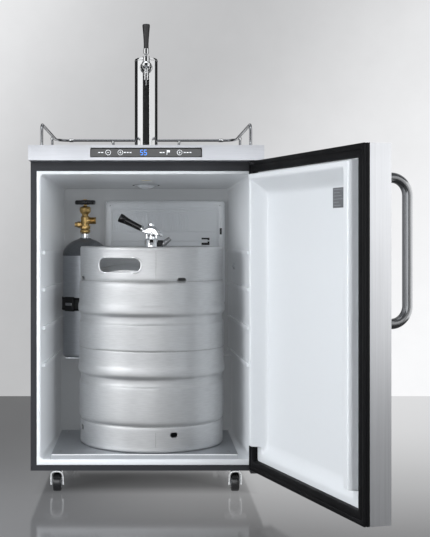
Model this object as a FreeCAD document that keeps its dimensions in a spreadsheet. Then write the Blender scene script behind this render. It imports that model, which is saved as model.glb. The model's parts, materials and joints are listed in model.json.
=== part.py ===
"""Single-tap kegerator: a refrigerated cabinet on casters with a beer tower, a keg and a gas cylinder.

Millimetres, +Z up, X to the right, Y away from the front. The origin is on the floor under the
centre of the cabinet. The door stands open at its rest angle about the right-hand hinge pins.
"""
import FreeCAD, Part
import math
import os
import re
import Sketcher

V = FreeCAD.Vector
X_AXIS, Y_AXIS, Z_AXIS = V(1, 0, 0), V(0, 1, 0), V(0, 0, 1)

doc = FreeCAD.newDocument("Kegerator")
dims = doc.addObject("Spreadsheet::Sheet", "Dims")

DRIVING = {
    # cabinet
    "width": 600, "depth": 590, "base": 66, "top": 898, "skin": 0.8, "wall": 2,
    "frame_depth": 20, "frame_top": 867.5, "lip_half": 284, "lip_low": 81, "lip_high": 843.5,
    "mouth_half": 275, "mouth_low": 95, "mouth_high": 835.8, "mouth_corner": 8,
    "cavity_depth": 500, "cavity_half": 250, "cavity_high": 820,
    "hump_front": 430, "hump_top": 318, "bay_front": 462, "bay_top": 288,
    "panel_out": 62, "panel_top": 906, "window_width": 284.5, "window_height": 24.4, "window_mid": 887,
    # tray in the cabinet, and its position behind the front
    "tray_left": -247, "tray_right": 239, "tray_top": 106.6, "tray_front": 4, "tray_back": 372,
    # guard rail
    "rail_rad": 4, "rail_mid": 968.5, "rail_half": 273.7, "rail_front": 26, "rail_back": 507,
    "rail_corner": 40, "rail_elbow": 26, "joint_half": 228, "post_rad": 3.5, "side_post": 351,
    "back_post": 100,
    # tower and tap
    "tower_rad": 31.75, "tower_behind": 212, "tower_top": 1170, "flange_rad": 51, "flange_high": 3,
    "shank_mid": 1140, "shank_rad": 11, "tap_ahead": 80, "tap_pivot": 1157.5, "bonnet_rad": 9.5,
    "bonnet_top": 1163.5, "line_rad": 20,
    # door, in its closed place relative to the hinge pins
    "pin_across": 291, "pin_ahead": 29, "open_angle": 108, "door_right": 7, "door_left": -589,
    "door_low": 75, "door_high": 866, "door_face": -36, "gasket_back": 14, "gasket_front": 27.2,
    "border": 28, "dike_right": -22.5, "dike_left": -550, "dike_low": 139, "dike_high": 836,
    "dike_rise": 42, "dike_slope": 4, "recess_left": -526, "recess_right": -36, "recess_low": 140,
    "recess_high": 818, "recess_floor": -1, "notch_wide": 34, "notch_deep": 8,
    "pin_rad": 4, "bush_rad": 6, "pin_long": 17, "running": 0.05,
    "grip_rad": 11, "grip_bend": 38, "grip_off": 56, "grip_inset": 30, "grip_low": 489,
    "grip_high": 796,
    # casters
    "caster_across": 235, "caster_behind": 250, "wheel_rad": 25, "wheel_wide": 22, "trail": 15,
    "fork_gap": 26, "fork_leg": 2.5, "fork_top": 58, "swivel_rad": 5,
    # keg and coupler
    "keg_across": 15, "keg_behind": 216, "keg_lift": 0.6, "keg_high": 540, "keg_rad": 201,
    "ring_rad": 204, "groove_rad": 197, "chime_rad": 198, "keg_wall": 2, "neck_rad": 28,
    "coupler_rad": 15, "coupler_low": 619, "coupler_high": 684, "coupler_pivot": 682, "pivot_rad": 3,
    "probe_rad": 6.5, "probe_top": 710, "lever_angle": 27, "lever_long": 98,
    # gas cylinder
    "gas_across": -181, "gas_behind": 410, "gas_rad": 66.5, "gas_low": 321, "gas_shoulder": 620,
    "gas_neck": 669, "strap_mid": 477, "strap_wide": 38, "handwheel_low": 769,
    # cooling
    "inlet_left": 235, "inlet_low": 110, "inlet_wide": 32, "inlet_high": 26,
    "cover_left": -124, "cover_right": 238, "cover_low": 470, "cover_high": 783, "cover_deep": 40,
}
for row, (alias, value) in enumerate(DRIVING.items(), 1):
    dims.set(f"A{row}", alias)
    dims.set(f"B{row}", str(value))
    dims.setAlias(f"B{row}", alias)
doc.recompute()

size = type("Size", (), DRIVING)
front = -size.depth / 2
parts = []


def bind(obj, prop, text):
    """Bind a property to an expression in which each bare word is a cell of the sheet."""
    words = re.sub(r"[a-z][a-z_]+", lambda w: "Dims." + w[0] if w[0] in DRIVING else w[0], str(text))
    obj.setExpression(prop, words)


def place(obj, x=0, y=0, z=0):
    for axis, text in (("x", x), ("y", y), ("z", z)):
        bind(obj, f"Placement.Base.{axis}", text)


def box(name, x, y, z, length, width, height):
    """A block whose lowest corner and three sizes are expressions."""
    obj = doc.addObject("Part::Box", name)
    place(obj, x, y, z)
    bind(obj, "Length", length)
    bind(obj, "Width", width)
    bind(obj, "Height", height)
    return obj


def cylinder(name, x, y, z, radius, height, axis=Z_AXIS):
    obj = doc.addObject("Part::Cylinder", name)
    obj.Placement.Rotation = FreeCAD.Rotation(Z_AXIS, axis)
    place(obj, x, y, z)
    bind(obj, "Radius", radius)
    bind(obj, "Height", height)
    return obj


def cone(name, x, y, z, low_radius, high_radius, height, axis=Z_AXIS):
    obj = doc.addObject("Part::Cone", name)
    obj.Placement.Rotation = FreeCAD.Rotation(Z_AXIS, axis)
    place(obj, x, y, z)
    bind(obj, "Radius1", low_radius)
    bind(obj, "Radius2", high_radius)
    bind(obj, "Height", height)
    return obj


def fuse(name, *shapes):
    obj = doc.addObject("Part::MultiFuse", name)
    obj.Shapes = list(shapes)
    return obj


def cut(name, base, *tools):
    obj = doc.addObject("Part::Cut", name)
    obj.Base = base
    obj.Tool = tools[0] if len(tools) == 1 else fuse(name + "_tools", *tools)
    return obj


def feature(name, shape):
    obj = doc.addObject("Part::Feature", name)
    obj.Shape = shape
    return obj


def keep(obj, label):
    """Mark an object as a finished piece and give it the name of its file."""
    obj.Label = label
    parts.append(obj)
    return obj


def plane(body, role):
    return next(o for o in body.Origin.OriginFeatures if o.Role == role)


def new_body(name, x=0, y=0, z=0):
    body = doc.addObject("PartDesign::Body", name)
    place(body, x, y, z)
    return body


def sketch_on(body, role, name, lift=0):
    """A sketch on one of the body's origin planes, lifted along the plane's normal."""
    sketch = body.newObject("Sketcher::SketchObject", name)
    sketch.AttachmentSupport = [(plane(body, role), "")]
    sketch.MapMode = "FlatFace"
    bind(sketch, "AttachmentOffset.Base.z", lift)
    return sketch


def rectangle(sketch, left, low, right, high):
    """Four lines held to the sketch's origin by dimensions that follow the sheet."""
    corners = [V(0, 0), V(50, 0), V(50, 50), V(0, 50)]
    first = sketch.GeometryCount
    for i in range(4):
        sketch.addGeometry(Part.LineSegment(corners[i], corners[(i + 1) % 4]), False)
    for i in range(4):
        sketch.addConstraint(Sketcher.Constraint("Coincident", first + i, 2, first + (i + 1) % 4, 1))
    for i, kind in enumerate(("Horizontal", "Vertical", "Horizontal", "Vertical")):
        sketch.addConstraint(Sketcher.Constraint(kind, first + i))
    for kind, corner, text in (
        ("DistanceX", 0, left), ("DistanceY", 0, low), ("DistanceX", 2, right), ("DistanceY", 2, high),
    ):
        start = 25 if corner else 5
        index = sketch.addConstraint(Sketcher.Constraint(kind, -1, 1, first + corner, 1, start))
        bind(sketch, f"Constraints[{index}]", text)


def outline(sketch, points):
    """A closed polygon through the given points."""
    count = len(points)
    for i in range(count):
        sketch.addGeometry(Part.LineSegment(V(*points[i]), V(*points[(i + 1) % count])), False)
    for i in range(count):
        sketch.addConstraint(Sketcher.Constraint("Coincident", i, 2, (i + 1) % count, 1))


def circle(sketch, x, y, radius):
    index = sketch.addGeometry(Part.Circle(V(x, y), Z_AXIS, 5), False)
    bind(sketch, f"Constraints[{sketch.addConstraint(Sketcher.Constraint('Radius', index, 5))}]", radius)


def pad(body, sketch, length, backwards=False):
    obj = body.newObject("PartDesign::Pad", sketch.Name + "_pad")
    obj.Profile = sketch
    obj.Reversed = backwards
    bind(obj, "Length", length)
    return obj


def pocket(body, sketch, length, backwards=False):
    """A pocket that must take material away."""
    doc.recompute()
    before = body.Shape.Volume
    obj = body.newObject("PartDesign::Pocket", sketch.Name + "_pocket")
    obj.Profile = sketch
    obj.Reversed = backwards
    bind(obj, "Length", length)
    doc.recompute()
    if not obj.Shape.Volume < before:
        raise ValueError(f"{sketch.Name} cuts nothing")
    return obj


def revolve(body, sketch, kind="PartDesign::Revolution"):
    """A full turn of a sketch in the XZ plane about its own vertical axis."""
    obj = body.newObject(kind, sketch.Name + "_turn")
    obj.Profile = sketch
    obj.ReferenceAxis = (sketch, ["V_Axis"])
    obj.Angle = 360
    return obj


def row(body, original, axis_role, length, count):
    """A linear pattern along one of the body's origin axes."""
    obj = body.newObject("PartDesign::LinearPattern", original.Name + "_row")
    obj.Originals = [original]
    obj.Direction = (plane(body, axis_role), [""])
    bind(obj, "Length", length)
    obj.Occurrences = count
    body.Tip = obj
    return obj


def ring(body, original, count, angle=360):
    """A pattern about the body's own Z axis."""
    obj = body.newObject("PartDesign::PolarPattern", original.Name + "_ring")
    obj.Originals = [original]
    obj.Axis = (plane(body, "Z_Axis"), [""])
    obj.Angle = angle
    obj.Occurrences = count
    body.Tip = obj
    return obj


def rounded_section(half, low, high, radius, y):
    """A rounded rectangle in the plane at depth y, as one wire."""
    base = Part.makePlane(2 * half, high - low, V(-half, y, high), V(0, -1, 0), V(1, 0, 0))
    lower, upper = min(p.Point.z for p in base.Vertexes), max(p.Point.z for p in base.Vertexes)
    base.translate(V(0, 0, (low + high - lower - upper) / 2))
    slab = base.extrude(V(0, 1, 0))
    edges = [e for e in slab.Edges if abs(e.tangentAt(e.FirstParameter).y) > 0.9]
    slab = slab.makeFillet(radius, edges)
    face = next(f for f in slab.Faces if abs(f.CenterOfMass.y - y) < 1e-6 and f.Area > 1000)
    return face.OuterWire


def smooth_path(points, radii):
    """Straight runs through the points, joined by tangent arcs of the given radii."""
    edges, start = [], points[0]
    for before, corner, after, radius in zip(points, points[1:], points[2:], radii):
        inward, outward = (before - corner).normalize(), (after - corner).normalize()
        half_turn = inward.getAngle(outward) / 2
        reach = radius / math.tan(half_turn)
        middle = corner + (inward + outward).normalize() * (radius / math.sin(half_turn) - radius)
        first, last = corner + inward * reach, corner + outward * reach
        edges.append(Part.LineSegment(start, first).toShape())
        edges.append(Part.Arc(first, middle, last).toShape())
        start = last
    edges.append(Part.LineSegment(start, points[-1]).toShape())
    return Part.Wire(edges)


def rod(points, radii, radius):
    path = smooth_path(points, radii)
    section = Part.Wire(Part.makeCircle(radius, points[0], points[1] - points[0]))
    return path.makePipeShell([section], True, False)


def fan(name, radius, hub_radius, thick, blades, x, y, z):
    """A rotor with its axis along Y: a hub and flat pitched blades."""
    hub = Part.makeCylinder(hub_radius, thick, V(0, -thick / 2, 0), Y_AXIS)
    bore = Part.makeCylinder(2, thick * 2, V(0, -thick, 0), Y_AXIS)
    rotor = hub
    for i in range(blades):
        blade = Part.makeBox(radius - hub_radius + 2, 1.6, radius * 0.5,
                             V(hub_radius - 2, -0.8, -radius * 0.25))
        blade.rotate(V(), X_AXIS, 28)
        blade.rotate(V(), Y_AXIS, 360 * i / blades)
        rotor = rotor.fuse(blade)
    rotor = rotor.cut(bore).removeSplitter()
    obj = feature(name, rotor)
    place(obj, x, y, z)
    return obj


def finned_coil(name, length, deep, high, fins, tubes, x, y, z):
    """Thin upright fins threaded on level tubes, with the lowest corner at x, y, z."""
    tube = min(4, deep / 4)
    solids = []
    for i in range(tubes):
        level = high * (i + 0.5) / tubes
        solids.append(Part.makeCylinder(tube, length, V(0, deep / 2, level), X_AXIS))
    for i in range(fins):
        solids.append(Part.makeBox(1, deep, high, V((length - 1) * i / (fins - 1), 0, 0)))
    obj = feature(name, solids[0].multiFuse(solids[1:]).removeSplitter())
    place(obj, x, y, z)
    return obj


# ---- cabinet shell -------------------------------------------------------------------------------

def cabinet_wrap():
    """One bent sheet: both sides and the top, behind the front frame."""
    body = new_body("wrap")
    sheet = sketch_on(body, "XZ_Plane", "wrap_outer", "-depth/2 + skin")
    rectangle(sheet, "-width/2", "base", "width/2", "top - 18")
    pad(body, sheet, "depth - frame_depth - skin")
    inner = sketch_on(body, "XZ_Plane", "wrap_inner", "-depth/2 - 1")
    rectangle(inner, "-width/2 + skin", "base - 1", "width/2 - skin", "top - 18 - skin")
    pocket(body, inner, "depth + 2", backwards=True)
    line = sketch_on(body, "XY_Plane", "wrap_line", "top - 30")
    circle(line, 0, front + size.tower_behind, "line_rad")
    pocket(body, line, 20, backwards=True)
    keep(body, "cabinet_wrap")


def front_frame():
    """The dark border around the mouth of the cabinet."""
    body = new_body("border_frame")
    outer = sketch_on(body, "XZ_Plane", "frame_outer", "depth/2")
    rectangle(outer, "-width/2", "base", "width/2", "frame_top")
    pad(body, outer, "frame_depth", backwards=True)
    mouth = sketch_on(body, "XZ_Plane", "frame_mouth", "depth/2 + 1")
    rectangle(mouth, "-lip_half", "lip_low", "lip_half", "lip_high")
    pocket(body, mouth, "frame_depth + 2")
    keep(body, "front_frame")


def rear_panel():
    """The back sheet, with a row of louvre slots over the compressor bay."""
    body = new_body("rear")
    sheet = sketch_on(body, "XZ_Plane", "rear_sheet", "-depth/2")
    rectangle(sheet, "-width/2", "base", "width/2", "top - 18")
    pad(body, sheet, "skin")
    slot = sketch_on(body, "XZ_Plane", "rear_slot", "-depth/2 - 1")
    rectangle(slot, "-width/2 + 60", "base + 50", "width/2 - 110", "base + 56")
    louvre = pocket(body, slot, "skin + 2", backwards=True)
    row(body, louvre, "Z_Axis", 140, 11)
    doc.recompute()
    inlet = sketch_on(body, "XZ_Plane", "rear_inlet", "-depth/2 - 1")
    rectangle(inlet, "inlet_left", "inlet_low", "inlet_left + inlet_wide", "inlet_low + inlet_high")
    pocket(body, inlet, "skin + 2", backwards=True)
    keep(body, "rear_panel")


def base_pan():
    plate = box("pan_plate", "-width/2 + skin", "-depth/2 + frame_depth", "base",
                "width - 2*skin", "depth - frame_depth - skin", 1.2)
    keep(plate, "base_pan")


def cavity(grow):
    """The food space of the liner, or the same space grown by a wall thickness."""
    start = front if grow == 0 else front + size.wall
    near = rounded_section(size.mouth_half + grow, size.mouth_low - grow, size.mouth_high + grow,
                           size.mouth_corner, start)
    far = rounded_section(size.cavity_half + grow, size.mouth_low - grow, size.cavity_high + grow,
                          size.mouth_corner, front + size.cavity_depth + grow)
    space = Part.makeLoft([near, far], True, True)
    hump = Part.makeBox(size.width, size.depth, size.hump_top - grow,
                        V(-size.width / 2, front + size.hump_front + grow, 0))
    return space.cut(hump)


def side_ledges():
    """Four moulded ledges along each side wall."""
    slabs = []
    for level in (330, 428, 529, 627):
        slabs.append(Part.makeBox(size.width, 430, 9, V(-size.width / 2, front + 45, level)))
    slim = cavity(0)
    narrow = FreeCAD.Matrix()
    narrow.scale(V(1 - 6 / size.mouth_half, 1, 1))
    slim = slim.transformGeometry(narrow)
    return slabs[0].multiFuse(slabs[1:]).common(cavity(size.wall)).cut(slim)


def inner_liner():
    lip = Part.makeBox(2 * size.lip_half, size.wall, size.lip_high - size.lip_low,
                       V(-size.lip_half, front, size.lip_low))
    shell = cavity(size.wall).fuse(lip).cut(cavity(0))
    line = Part.makeCylinder(size.line_rad, 60, V(0, front + size.tower_behind, 800))
    liner = shell.fuse(side_ledges()).cut(line).removeSplitter()
    keep(feature("liner", liner), "inner_liner")


def insulation_foam():
    """Foam between the sheets and the liner, open over the compressor bay."""
    edge = size.skin
    block = Part.makeBox(size.width - 2 * edge, size.depth - size.frame_depth - edge,
                         size.top - 18 - edge - size.base - 1.2,
                         V(-size.width / 2 + edge, front + size.frame_depth, size.base + 1.2))
    bay = Part.makeBox(size.width, size.depth, size.bay_top, V(-size.width / 2, front + size.bay_front, 0))
    line = Part.makeCylinder(size.line_rad, 120, V(0, front + size.tower_behind, 790))
    foam = block.cut(cavity(size.wall)).cut(bay).cut(line)
    keep(feature("foam", foam), "insulation_foam")


def control_panel():
    """The folded steel housing over the door, with a window for the display."""
    body = new_body("panel")
    outer = sketch_on(body, "XZ_Plane", "panel_outer", "depth/2 + panel_out")
    rectangle(outer, "-width/2", "frame_top", "width/2", "panel_top")
    pad(body, outer, "panel_out + frame_depth", backwards=True)
    inner = sketch_on(body, "XZ_Plane", "panel_inner", "depth/2 + panel_out - 1.2")
    rectangle(inner, "-width/2 + 1.2", "frame_top + 1.2", "width/2 - 1.2", "panel_top - 1.2")
    pocket(body, inner, "panel_out + frame_depth")
    window = sketch_on(body, "XZ_Plane", "panel_window", "depth/2 + panel_out + 1")
    rectangle(window, "-window_width/2", "window_mid - window_height/2", "window_width/2",
              "window_mid + window_height/2")
    pocket(body, window, 4)
    keep(body, "control_panel")
    glass = new_body("window")
    face = sketch_on(glass, "XZ_Plane", "window_face", "depth/2 + panel_out")
    rectangle(face, "-window_width/2", "window_mid - window_height/2", "window_width/2",
              "window_mid + window_height/2")
    pad(glass, face, 3, backwards=True)
    keep(glass, "display_window")


def worktop():
    """A moulded top with short skirts, drilled for the beer line."""
    slab = box("top_slab", "-width/2", "-depth/2 + frame_depth", "top - 18", "width",
               "depth - frame_depth", 18)
    under = box("top_under", "-width/2 + 3", "-depth/2 + frame_depth + 3", "top - 18",
                "width - 6", "depth - frame_depth - 6", 14)
    line = cylinder("top_line", 0, "-depth/2 + tower_behind", "top - 20", "line_rad", 30)
    keep(cut("top_cut", slab, under, line), "worktop")


def floor_tray():
    """A folded steel tray that carries the keg."""
    plate = box("tray_block", "tray_left", "-depth/2 + tray_front", "mouth_low",
                "tray_right - tray_left", "tray_back - tray_front", "tray_top - mouth_low")
    under = box("tray_under", "tray_left + 2", "-depth/2 + tray_front + 2", "mouth_low - 1",
                "tray_right - tray_left - 4", "tray_back - tray_front - 4", "tray_top - mouth_low - 1")
    keep(cut("tray_cut", plate, under), "floor_tray")


# ---- guard rail, tower and tap -------------------------------------------------------------------

def guard_rail():
    y_front, y_back = front + size.rail_front, front + size.rail_back
    for side, label in ((-1, "rail_left"), (1, "rail_right")):
        across = side * size.rail_half
        points = [V(across, y_front, size.top), V(across, y_front, size.rail_mid),
                  V(across, y_back, size.rail_mid), V(side * size.joint_half, y_back, size.rail_mid)]
        bar = rod(points, [size.rail_elbow, size.rail_corner], size.rail_rad)
        keep(feature(label + "_rod", bar), label)
    keep(cylinder("rail_back_rod", "-joint_half", "-depth/2 + rail_back", "rail_mid", "rail_rad",
                  "2*joint_half", X_AXIS), "rail_back")
    posts = []
    for x, y in (("-rail_half", "side_post"), ("rail_half", "side_post"),
                 ("-back_post", "rail_back"), ("back_post", "rail_back")):
        tag = f"post_{len(posts)}"
        stem = cylinder(tag + "_stem", x, f"-depth/2 + {y}", "top", "post_rad", "rail_mid - rail_rad - top")
        foot = cylinder(tag + "_foot", x, f"-depth/2 + {y}", "top", 9, 3)
        posts.append(fuse(tag, stem, foot))
    group = doc.addObject("Part::Compound", "posts")
    group.Links = posts
    keep(group, "rail_posts")


def tower():
    middle = "-depth/2 + tower_behind"
    plate = cylinder("flange_plate", 0, middle, "top", "flange_rad", "flange_high")
    spigot = cylinder("flange_spigot", 0, middle, "top", "tower_rad - 1.5", 20)
    bore = cylinder("flange_bore", 0, middle, "top - 1", "line_rad", 30)
    keep(cut("flange_cut", fuse("flange_sum", plate, spigot), bore), "tower_flange")
    tube = cylinder("column_tube", 0, middle, "top + flange_high", "tower_rad",
                    "tower_top - 8 - top - flange_high")
    hollow = cylinder("column_bore", 0, middle, "top", "tower_rad - 1.5", "tower_top - top")
    hole = cylinder("column_hole", 0, middle, "shank_mid", "shank_rad", 60, V(0, -1, 0))
    keep(cut("column_cut", tube, hollow, hole), "tower_column")
    body = new_body("cap", 0, middle, "tower_top - 8")
    section = sketch_on(body, "XZ_Plane", "cap_section")
    rim = size.tower_rad
    outline(section, [(0, 0), (rim, 0), (rim, 3), (rim - 1.2, 6), (rim - 4, 7.6), (rim - 9, 8), (0, 8)])
    revolve(body, section)
    keep(body, "tower_cap")


def tap():
    """The shank through the column, the tap body with its spout, the lever and the handle."""
    middle = "-depth/2 + tower_behind"
    across = front + size.tower_behind - size.tap_ahead
    forward = V(0, -1, 0)
    shank = cylinder("shank_rod", 0, f"{middle} + 20", "shank_mid", "shank_rad", 66, forward)
    collar = cylinder("shank_collar", 0, f"{middle} - tower_rad", "shank_mid", 15, 6, forward)
    bore = cylinder("shank_bore", 0, f"{middle} + 21", "shank_mid", 4, 80, forward)
    nut = cylinder("shank_nut", 0, f"{middle} - tower_rad - 6", "shank_mid", 14, 9, forward)
    keep(cut("shank_cut", fuse("shank_sum", shank, collar, nut), bore), "faucet_shank")

    start = f"{middle} - tower_rad - 15"
    barrel = cylinder("tap_barrel", 0, start, "shank_mid", 12, "tap_ahead - tower_rad - 15 + 10", forward)
    bonnet = cylinder("tap_bonnet", 0, f"{middle} - tap_ahead", "shank_mid - 10", "bonnet_rad",
                      "bonnet_top - shank_mid + 10")
    ferrule = cylinder("tap_seat", 0, f"{middle} - tap_ahead", "shank_mid - 9", 13, 18)
    spout = feature("tap_spout", rod([V(0, across + 6, size.shank_mid), V(0, across - 4, size.shank_mid - 20),
                                      V(0, across - 6, size.shank_mid - 41)], [18], 6.5))
    pit = cylinder("tap_pit", 0, f"{middle} - tap_ahead", "tap_pivot - 6", 8.2, 20)
    keep(cut("tap_cut", fuse("tap_sum", barrel, bonnet, ferrule, spout), pit), "faucet_body")

    lever = new_body("lever", 0, f"{middle} - tap_ahead", "tap_pivot")
    stem = sketch_on(lever, "XZ_Plane", "lever_section")
    outline(stem, [(0, -5), (3, -4), (5, -1), (5, 1), (3.2, 4.4), (3.2, 12), (6, 12), (6, 15), (5, 16.5),
                   (5, 26), (0, 26)])
    revolve(lever, stem)
    pin = cylinder("lever_pin", -7, f"{middle} - tap_ahead", "tap_pivot", 2.5, 14, X_AXIS)
    keep(fuse("lever_sum", lever, pin), "faucet_lever")
    handle = new_body("handle", 0, f"{middle} - tap_ahead", "tap_pivot")
    grip = sketch_on(handle, "XZ_Plane", "handle_section")
    outline(grip, [(0, 26.1), (6.4, 26.1), (6.8, 30), (10.2, 86), (10, 90), (8.6, 92.4), (0, 93)])
    revolve(handle, grip)
    keep(handle, "tap_handle")


def drip_tray():
    """A shallow pan before the tower, with a slotted plate that lifts out."""
    pan = box("drip_block", -95, "-depth/2 + 60", "top", 190, 95, 12)
    well = box("drip_well", -93, "-depth/2 + 62", "top + 1.5", 186, 91, 12)
    keep(cut("drip_cut", pan, well), "drip_tray")
    body = new_body("grille", 0, "-depth/2 + 107.5", "top + 9.5")
    plate = sketch_on(body, "XY_Plane", "grille_plate")
    rectangle(plate, -92.6, -45.1, 92.6, 45.1)
    pad(body, plate, 2)
    slot = sketch_on(body, "XY_Plane", "grille_slot", 3)
    rectangle(slot, -84, -36, -80, 36)
    row(body, pocket(body, slot, 6), "X_Axis", 164, 18)
    doc.recompute()
    keep(body, "drip_grille")


# ---- cooling -------------------------------------------------------------------------------------

def evaporator():
    wall_y = "-depth/2 + cavity_depth"
    body = new_body("cover", 0, wall_y, 0)
    face = sketch_on(body, "XZ_Plane", "cover_face")
    rectangle(face, "cover_left", "cover_low", "cover_right", "cover_high")
    pad(body, face, "cover_deep")
    inside = sketch_on(body, "XZ_Plane", "cover_inside", -1)
    rectangle(inside, "cover_left + 2", "cover_low + 2", "cover_right - 2", "cover_high - 2")
    pocket(body, inside, "cover_deep - 1", backwards=True)
    rib = sketch_on(body, "XZ_Plane", "cover_rib", "cover_deep - 3")
    rectangle(rib, -100, 694, -97.5, 742)
    row(body, pocket(body, rib, 8, backwards=True), "X_Axis", 225, 46)
    intake = sketch_on(body, "XZ_Plane", "cover_intake", "cover_deep - 3")
    rectangle(intake, 0, 500, 110, 504)
    row(body, pocket(body, intake, 8, backwards=True), "Z_Axis", 100, 11)
    doc.recompute()
    keep(body, "evaporator_cover")
    keep(finned_coil("cold_coil", 220, 24, 70, 30, 3, -90, f"{wall_y} - 30", 660), "evaporator_coil")
    keep(cylinder("cold_motor", 55, f"{wall_y} - 2", 552, 18, 12, V(0, -1, 0)), "evaporator_motor")
    keep(fan("cold_fan", 46, 12, 10, 5, 55, f"{wall_y} - 24", 552), "evaporator_fan")


def lamp_lens():
    """The oval lamp cover under the ceiling."""
    base = cylinder("lamp_base", 0, "-depth/2 + 337", 821, 26, 3.2)
    dome = feature("lamp_dome", Part.makeSphere(34).cut(Part.makeBox(80, 80, 80, V(-40, -40, -23.5))))
    place(dome, 0, "-depth/2 + 337", 845)
    keep(fuse("lamp_sum", base, dome), "lamp_lens")


def machine_bay():
    """Compressor, finned condenser and its fan, and the mains inlet at the back."""
    body = new_body("pot", -190, "-depth/2 + bay_front + 65", "base + 1.2")
    section = sketch_on(body, "XZ_Plane", "pot_section")
    outline(section, [(0, 0), (40, 0), (40, 12), (50, 22), (56, 40), (56, 95), (50, 122), (34, 140),
                      (12, 148), (0, 149)])
    revolve(body, section)
    keep(body, "compressor")
    keep(finned_coil("hot_coil", 150, 40, 160, 26, 5, 10, "-depth/2 + bay_front + 62", "base + 22"),
         "condenser")
    motor = cylinder("hot_motor_can", 85, "-depth/2 + bay_front + 8", 168, 20, 20, Y_AXIS)
    leg = box("hot_motor_leg", 79, "-depth/2 + bay_front + 10", "base + 1.2", 12, 6, 82)
    keep(fuse("hot_motor_sum", motor, leg), "condenser_motor")
    keep(fan("hot_fan", 70, 18, 14, 5, 85, "-depth/2 + bay_front + 40", 168), "condenser_fan")
    can = box("inlet_can", "inlet_left", "depth/2 - 23", "inlet_low", "inlet_wide", 23, "inlet_high")
    lip = box("inlet_lip", "inlet_left - 6", "depth/2", "inlet_low - 6", "inlet_wide + 12", 3,
              "inlet_high + 12")
    well = box("inlet_well", "inlet_left + 4", "depth/2 - 16", "inlet_low + 4", "inlet_wide - 8", 30,
               "inlet_high - 8")
    keep(cut("inlet_cut", fuse("inlet_sum", can, lip), well), "power_inlet")


# ---- door, built closed about the hinge pins and turned to its rest angle ---------------------------

def open_door(obj):
    """Put a door piece on the hinge line at its rest angle."""
    place(obj, "pin_across", "-depth/2 - pin_ahead", 0)
    obj.setExpression("Placement.Rotation.Axis.z", "1")
    bind(obj, "Placement.Rotation.Angle", "open_angle")


def block(left, near, low, right, far, high):
    return Part.makeBox(right - left, far - near, high - low, V(left, near, low))


def tapered(foot, top):
    """A tapered block in the door between two rectangles: left, low, right, high and place in depth."""
    wires = []
    for left, low, right, high, y in (foot, top):
        corners = [V(left, y, low), V(right, y, low), V(right, y, high), V(left, y, high)]
        wires.append(Part.makePolygon(corners + corners[:1]))
    return Part.makeLoft(wires, True, True)


def door_form(inset):
    """The moulded inner face of the door: a flange, ridges on three sides and a recess between them.

    The recess has a steep free side, a wide slope at the top and a ramp at the foot, below the ridges.
    """
    body = block(size.door_left + 0.8, size.door_face + 0.8, size.door_low + 0.8, size.door_right - 0.8,
                 size.gasket_back - inset, size.door_high - 0.8)
    side = inset + size.dike_slope
    dike = tapered((size.dike_left + inset, size.dike_low + inset, size.dike_right - inset,
                    size.dike_high - inset, size.recess_floor),
                   (size.dike_left + side, size.dike_low + side, size.dike_right - side,
                    size.dike_high - side, size.dike_rise - inset))
    free_slope, hinge_slope, top_slope, foot_ramp = 12, 15, 33, 53
    left, right = size.recess_left - inset, size.recess_right + inset
    low, high = size.recess_low - inset, size.recess_high + inset
    recess = tapered((left, low - foot_ramp, right, high, size.dike_rise + 1),
                     (left + free_slope, low, right - hinge_slope, high - top_slope,
                      size.recess_floor - inset))
    return body.fuse(dike).cut(recess)


def hinge_notch():
    return block(-size.notch_wide, size.door_face - 1, size.door_high - size.notch_deep,
                 size.door_right + 1, size.gasket_front + 1, size.door_high + 1)


def bush_holes(radius):
    low = Part.makeCylinder(radius, 21, V(0, 0, size.door_low - 1))
    high = Part.makeCylinder(radius, 21, V(0, 0, size.door_high - size.notch_deep - 20))
    return low.fuse(high)


def door():
    skin = new_body("door_tray")
    outer = sketch_on(skin, "XZ_Plane", "door_outer", "-gasket_back")
    rectangle(outer, "door_left", "door_low", "door_right", "door_high")
    pad(skin, outer, "gasket_back - door_face")
    inner = sketch_on(skin, "XZ_Plane", "door_inner", "-gasket_back - 1")
    rectangle(inner, "door_left + 0.8", "door_low + 0.8", "door_right - 0.8", "door_high - 0.8")
    pocket(skin, inner, "gasket_back - door_face + 1 - 0.8", backwards=True)
    notch = sketch_on(skin, "XZ_Plane", "door_notch", "-gasket_back - 1")
    rectangle(notch, "-notch_wide", "door_high - notch_deep", "door_right + 1", "door_high + 1")
    pocket(skin, notch, "gasket_back - door_face + 2", backwards=True)
    foot = sketch_on(skin, "XY_Plane", "door_foot_hole", "door_low - 1")
    circle(foot, 0, 0, "bush_rad")
    pocket(skin, foot, 3, backwards=True)
    open_door(skin)
    keep(skin, "door_skin")

    fittings = hinge_notch().fuse(bush_holes(size.bush_rad))
    open_door(keep(feature("door_core", door_form(size.wall).cut(fittings)), "door_foam"))
    sheet = door_form(0).cut(door_form(size.wall)).cut(fittings)
    open_door(keep(feature("door_inner_sheet", sheet), "door_liner"))

    edge = block(size.door_left, size.gasket_back, size.door_low, size.door_right, size.gasket_front,
                 size.door_high)
    mouth = block(size.door_left + size.border, 0, size.door_low + size.border,
                  size.door_right - size.border, 60, size.door_high - size.border)
    open_door(keep(feature("door_seal", edge.cut(mouth).cut(fittings)), "door_gasket"))

    bushes = []
    for tag, low in (("low", "door_low"), ("high", "door_high - notch_deep - 18")):
        tube = cylinder(f"bush_{tag}_tube", 0, 0, low, "bush_rad", 18)
        bore = cylinder(f"bush_{tag}_bore", 0, 0, f"{low} - 1", "pin_rad + running", 20)
        bushes.append(cut(f"bush_{tag}", tube, bore))
    pair = doc.addObject("Part::Compound", "bushes")
    pair.Links = bushes
    open_door(pair)
    keep(pair, "hinge_bushes")


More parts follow.
